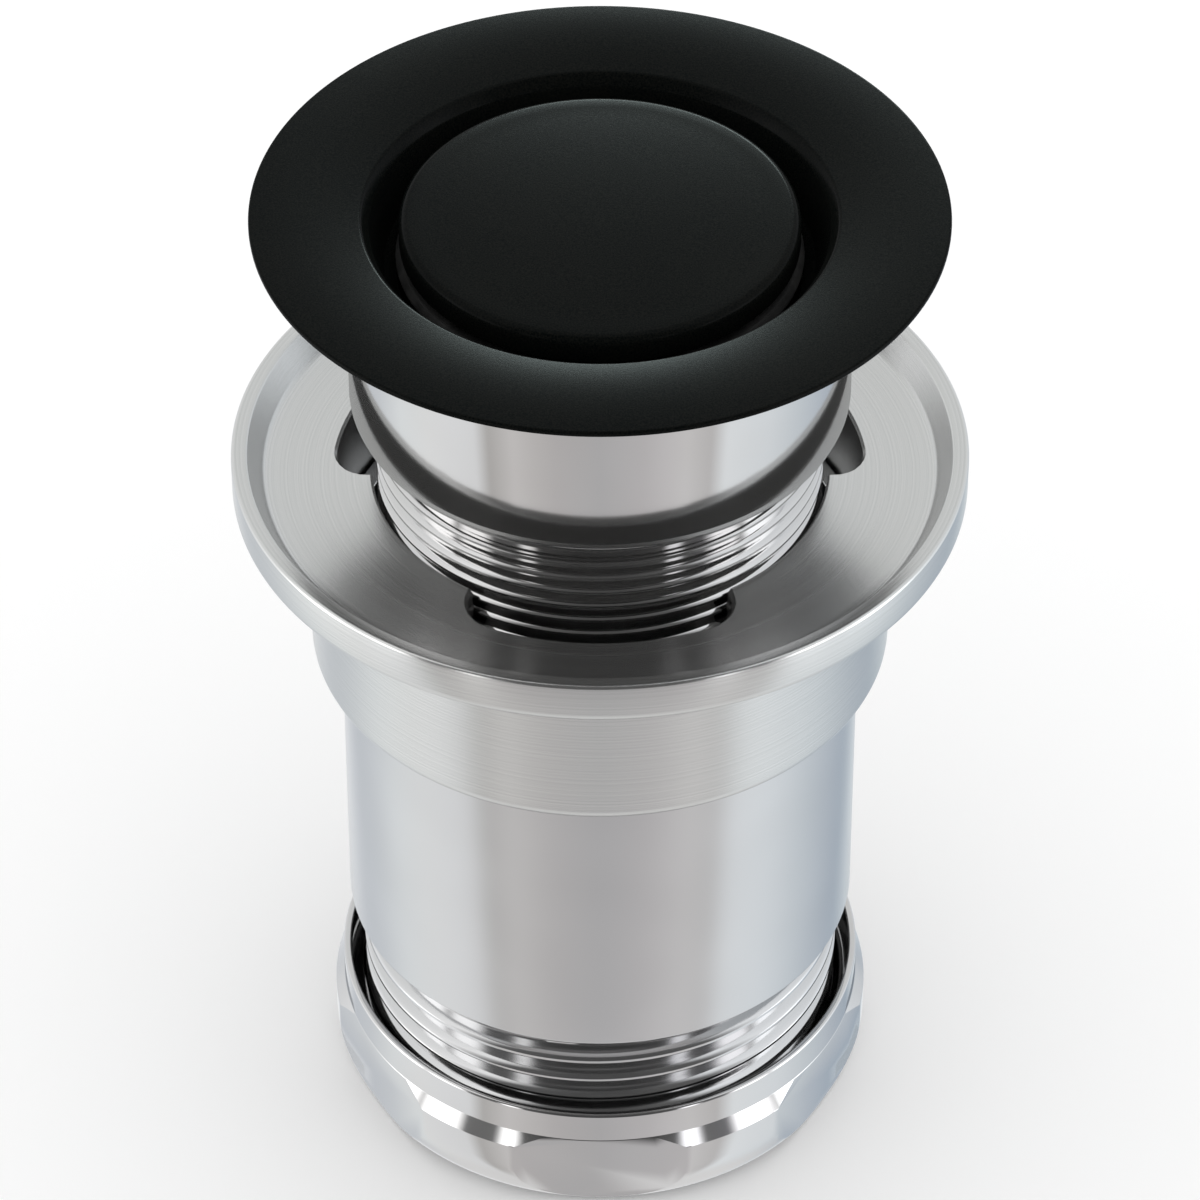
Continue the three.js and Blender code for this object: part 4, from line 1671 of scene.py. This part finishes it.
@dataclass
class TailTube:
    """The satin tail tube with its coarse thread."""

    bore: float = 20.5
    crest: float = 21.0
    depth: float = 1.25
    pitch: float = 2.209
    thread_length: float = 12.4
    wall: float = 1.4
    foot_chamfer: float = 0.4
    cone_rise: float = 2.0
    cone_height: float = 3.0
    cone_round: float = 1.0
    thread_relief: float = 0.3
    thread_rows: int = 18
    step_height: float = 0.1  # where the thread's root meets the wider tube
    sides: int = 144

    def build(self, shop: Workshop) -> None:
        """Makes the tube.

        Args:
            shop: The winders and cutters.
        """
        span = Span.of("tail_tube")
        tube_foot = span.foot + self.thread_length
        thread_top = tube_foot - self.thread_relief
        thread = Thread(
            self.crest, self.depth, self.pitch, span.foot, thread_top, self.thread_rows
        )
        narrow = thread.root - self.wall
        cone = tube_foot + self.cone_rise
        outline = [
            Corner(narrow, span.foot, SOFT), thread, Corner(thread.root, tube_foot - self.step_height),
            Corner(span.radius - self.foot_chamfer, tube_foot, CRISP),
            Corner(span.radius, tube_foot + self.foot_chamfer, SOFT),
            Corner(span.radius, span.top, EASED), Corner(self.bore, span.top, EASED),
            Corner(self.bore, cone + self.cone_height, self.cone_round),
            Corner(narrow, cone, self.cone_round),
        ]
        blank = turned("threaded_tail_tube", outline, self.sides)
        tube = shop.threads.wind(blank, thread, SATIN.material())
        finish_piece(tube, SATIN, Body.LOWER, "tail_tube")


@dataclass
class SlipNut:
    """The hexagonal slip nut with its collar, and the two rings that it presses on a pipe."""

    across_flats: float = 44.9
    body_height: float = 8.1
    top_chamfer: float = 1.3
    foot_round: float = 2.6
    foot_rise: float = 4.4
    collar: float = 22.9
    mouth: float = 22.25
    mouth_depth: float = 1.8
    bore: float = 21.2
    lip: float = 1.5
    lip_bore: float = 17.0
    mouth_cone: float = 0.5
    flat_stop: float = 0.05  # the flats end this far under the body's top
    foot_steps: int = 12
    sides: int = 216
    steps: int = 8

    def build(self, shop: Workshop) -> None:
        """Makes the nut and its rings.

        Args:
            shop: The winders and cutters.
        """
        span = Span.of("slip_nut")
        mouth_foot = span.top - self.mouth_depth
        outline = [
            Corner(self.lip_bore, span.foot, SOFT), *self._foot_edge(span),
            Corner(span.radius, self.body_height - self.top_chamfer, EASED),
            Corner(self.collar, self.body_height, GENTLE), Corner(self.collar, span.top, GENTLE),
            Corner(self.mouth, span.top, BROKEN), Corner(self.mouth, mouth_foot),
            Corner(self.bore, mouth_foot - self.mouth_cone), Corner(self.bore, self.lip, EASED),
            Corner(self.lip_bore, self.lip, SOFT),
        ]
        nut = turned("hexagonal_slip_nut", outline, self.sides, self.steps)
        flat_top = self.body_height - self.flat_stop
        shop.hexagon_cut(nut, self.across_flats, span.foot - CUT_PAST, flat_top, POLISHED)
        finish_piece(nut, POLISHED, Body.NUT, "slip_nut")
        self._rings()

    def _foot_edge(self, span: Span) -> list[Corner]:
        """The rounded edge at the nut's foot, taller than it is deep.

        Args:
            span: The nut's span.

        Returns:
            The edge's corners, from the foot up.
        """
        turns = [math.pi / 2 * i / self.foot_steps for i in range(self.foot_steps + 1)]
        return [
            Corner(
                span.radius - self.foot_round * (1 - math.sin(a)),
                span.foot + self.foot_rise * (1 - math.cos(a)),
            )
            for a in turns
        ]

    def _rings(self) -> None:
        """The friction ring and the tapered compression ring."""
        friction, seal = Span.of("friction_ring"), Span.of("compression_ring")
        flat = [
            Corner(self.lip_bore, friction.foot, CRISP), Corner(friction.radius, friction.foot, CRISP),
            Corner(friction.radius, friction.top, CRISP), Corner(self.lip_bore, friction.top, CRISP),
        ]
        finish_piece(turned("slip_friction_ring", flat), WHITE_PLASTIC, Body.RINGS, "friction_ring")
        taper = (seal.top - seal.foot) / 2
        cone = [
            Corner(self.lip_bore, seal.foot, EASED), Corner(seal.radius, seal.foot, EASED),
            Corner(seal.radius, seal.top - taper, EASED), Corner(seal.radius - taper, seal.top, EASED),
            Corner(self.lip_bore, seal.top, EASED),
        ]
        finish_piece(turned("slip_compression_ring", cone), RUBBER, Body.RINGS, "compression_ring")


# ---- The studio ----


@dataclass
class Studio:
    """The pale floor, the soft light all round and the camera; lengths here are metres."""

    distance: float = 0.5487
    aim_level: float = 0.05055
    elevation: float = math.radians(40.75)
    lens: float = 192.5
    near_clip: float = 0.01
    far_clip: float = 20.0
    floor_radius: float = 4.0
    floor_sides: int = 96
    floor_grey: float = 0.97
    floor_roughness: float = 0.9
    # What stands round the waste, seen from it: azimuth in degrees from the front, and colour.
    low_ring: tuple[tuple[float, Colour], ...] = (
        (-180, (1.0, 1.0, 1.0)), (-158, (0.80, 0.82, 0.84)), (-140, (0.56, 0.59, 0.63)),
        (-122, (0.62, 0.65, 0.68)), (-104, (0.76, 0.79, 0.80)), (-86, (0.78, 0.79, 0.79)),
        (-70, (0.76, 0.77, 0.78)), (-59, (0.74, 0.75, 0.76)), (-52, (0.46, 0.45, 0.44)),
        (-40, (0.60, 0.585, 0.58)), (-30, (0.54, 0.525, 0.52)), (-20, (0.49, 0.475, 0.475)),
        (0, (0.45, 0.445, 0.45)), (20, (0.50, 0.485, 0.49)), (30, (0.56, 0.545, 0.55)),
        (40, (0.61, 0.60, 0.60)), (52, (0.53, 0.52, 0.52)), (60, (0.78, 0.81, 0.83)),
        (84, (0.72, 0.76, 0.79)), (104, (0.59, 0.64, 0.68)), (124, (0.47, 0.52, 0.58)),
        (142, (0.38, 0.44, 0.51)), (158, (0.66, 0.72, 0.76)), (180, (1.0, 1.0, 1.0)),
    )
    level_ring: tuple[tuple[float, Colour], ...] = (
        (-180, (0.70, 0.71, 0.72)), (-130, (0.72, 0.73, 0.74)), (-100, (0.95, 0.96, 0.97)),
        (-86, (2.2, 2.2, 2.2)), (-76, (2.2, 2.2, 2.2)), (-72, (0.5, 0.5, 0.5)), (-68, (2.0, 2.0, 2.0)),
        (-58, (2.0, 2.0, 2.0)), (-52, (0.16, 0.16, 0.16)), (-40, (0.14, 0.14, 0.14)),
        (-37, (1.5, 1.5, 1.5)), (-33, (1.5, 1.5, 1.5)), (-30, (0.10, 0.10, 0.10)),
        (-12, (0.05, 0.05, 0.05)), (12, (0.05, 0.05, 0.05)), (30, (0.10, 0.10, 0.10)),
        (33, (1.5, 1.5, 1.55)), (37, (1.5, 1.5, 1.55)), (40, (0.14, 0.14, 0.14)),
        (50, (0.16, 0.16, 0.17)), (56, (2.0, 2.0, 2.05)), (66, (2.0, 2.0, 2.05)), (70, (0.5, 0.5, 0.5)),
        (74, (2.2, 2.25, 2.3)), (84, (2.2, 2.25, 2.3)), (100, (0.88, 0.92, 0.96)),
        (130, (0.66, 0.69, 0.72)), (180, (0.70, 0.71, 0.72)),
    )
    high_ring: tuple[tuple[float, Colour], ...] = (
        (-180, (0.62, 0.63, 0.63)), (-120, (0.70, 0.71, 0.71)), (-75, (0.85, 0.85, 0.85)),
        (-50, (0.10, 0.10, 0.10)), (-15, (0.06, 0.06, 0.06)), (15, (0.06, 0.06, 0.06)),
        (50, (0.10, 0.10, 0.10)), (75, (0.82, 0.84, 0.86)), (120, (0.66, 0.68, 0.70)),
        (180, (0.62, 0.63, 0.63)),
    )
    beneath: Colour = (0.72, 0.72, 0.72)
    # Where beneath and each ring give way to the next, by the direction's Z.
    low_rise: tuple[float, float] = (-0.95, -0.80)
    level_rise: tuple[float, float] = (-0.50, -0.30)
    high_rise: tuple[float, float] = (0.20, 0.50)
    fade: tuple[float, float] = (2.0, 4.3)  # ray depths over which mirrored light dies away
    faded: Colour = (0.01, 0.01, 0.01)
    plain_light: Colour = (1.1, 1.1, 1.1)  # what dull surfaces get from everywhere
    panel_place: tuple[float, float, float] = (0.08, 0.8, 0.42)
    panel_size: tuple[float, float] = (0.30, 0.12)
    panel_watts: float = 1.9
    panel_tint: Colour = (0.84, 1.0, 0.98)

    def build(self) -> None:
        """Sets up the floor, the light and the camera."""
        self._floor()
        self._surroundings()
        self._camera()
        bpy.context.scene.view_settings.view_transform = "Standard"

    def light_coat(self) -> None:
        """Adds the soft panel behind that lights only the coated pieces, for their soft rim."""
        lamp = bpy.data.lights.new("back_panel", "AREA")
        lamp.shape = "RECTANGLE"
        lamp.size, lamp.size_y = self.panel_size
        lamp.energy = self.panel_watts
        lamp.color = self.panel_tint
        light = bpy.data.objects.new("back_panel", lamp)
        bpy.context.scene.collection.objects.link(light)
        light.location = self.panel_place
        aim = Vector((0, 0, self.aim_level)) - Vector(self.panel_place)
        light.rotation_euler = aim.to_track_quat("-Z", "Y").to_euler()
        lit = bpy.data.collections.new("back_panel")
        light.light_linking.receiver_collection = lit
        for piece in bpy.context.scene.objects:
            if piece.type == "MESH" and COAT.label in [m.name for m in piece.data.materials if m]:
                lit.objects.link(piece)

    def _floor(self) -> None:
        """A plain pale floor, hidden from the metal, which mirrors the surroundings instead."""
        shape = bmesh.new()
        bmesh.ops.create_circle(
            shape, cap_ends=True, segments=self.floor_sides, radius=self.floor_radius
        )
        mesh = bpy.data.meshes.new("floor")
        shape.to_mesh(mesh)
        shape.free()
        floor = placed("floor", mesh)
        made = bpy.data.materials.new("pale_floor")
        made.use_nodes = True
        shader = made.node_tree.nodes["Principled BSDF"]
        shader.inputs["Base Color"].default_value = (*[self.floor_grey] * 3, 1.0)
        shader.inputs["Roughness"].default_value = self.floor_roughness
        shader.inputs["Specular IOR Level"].default_value = 0.0
        mesh.materials.append(made)
        floor.visible_glossy = False

    def _surroundings(self) -> None:
        """The studio as a world: what mirrors see, by direction, and even light for the rest."""
        world = bpy.data.worlds.new("studio")
        bpy.context.scene.world = world
        world.use_nodes = True
        world.node_tree.nodes.clear()
        graph = Graph(world.node_tree)
        direction = graph.node("ShaderNodeTexCoord", None, None, "Generated")
        x, y, z = (
            graph.node("ShaderNodeSeparateXYZ", None, [direction], axis) for axis in "XYZ"
        )
        share = x.maths("ARCTAN2", -y) / FULL_TURN + 0.5
        seen: Value = self.beneath
        for ring, rise in (
            (self.low_ring, self.low_rise), (self.level_ring, self.level_rise),
            (self.high_ring, self.high_rise),
        ):
            seen = Finish.blend(graph, z.ramp(*rise), seen, self._ring(graph, share, ring))
        glossy = graph.node("ShaderNodeLightPath", None, None, "Is Glossy Ray")
        bounces = graph.node("ShaderNodeLightPath", None, None, "Ray Depth")
        seen = Finish.blend(graph, 1.0 - bounces.ramp(*self.fade), self.faded, seen)
        colour = Finish.blend(graph, glossy, self.plain_light, seen)
        light = graph.node("ShaderNodeBackground", None, {"Color": colour, "Strength": 1.0})
        sink = world.node_tree.nodes.new("ShaderNodeOutputWorld")
        world.node_tree.links.new(light.socket, sink.inputs["Surface"])

    @staticmethod
    def _ring(graph: Graph, share: Sock, ring: Sequence[tuple[float, Colour]]) -> Sock:
        """Brightness round the horizon, from stops in degrees."""
        stops = [(degrees / 360 + 0.5, colour) for degrees, colour in ring]
        return graph.node("ShaderNodeValToRGB", {"stops": stops}, [share], "Color")

    def _camera(self) -> None:
        """The camera in front and above, aimed at the waste's middle."""
        lens = bpy.data.cameras.new("camera")
        lens.lens = self.lens
        lens.clip_start, lens.clip_end = self.near_clip, self.far_clip
        camera = bpy.data.objects.new("camera", lens)
        bpy.context.scene.collection.objects.link(camera)
        camera.location = (
            0.0, -self.distance * math.cos(self.elevation),
            self.aim_level + self.distance * math.sin(self.elevation),
        )
        camera.rotation_euler = (math.pi / 2 - self.elevation, 0.0, 0.0)
        bpy.context.scene.camera = camera


def main() -> None:
    """Builds the studio and every sub-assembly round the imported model."""
    logging.basicConfig(level=logging.INFO, format="%(name)s: %(message)s")
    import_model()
    studio = Studio()
    studio.build()
    shop = Workshop()
    TopFlange().build()
    Neck().build(shop)
    Plug().build()
    ClickCartridge().build(shop)
    LowerFlange().build(shop)
    TailTube().build(shop)
    SlipNut().build(shop)
    studio.light_coat()


if __name__ == "__main__":
    main()
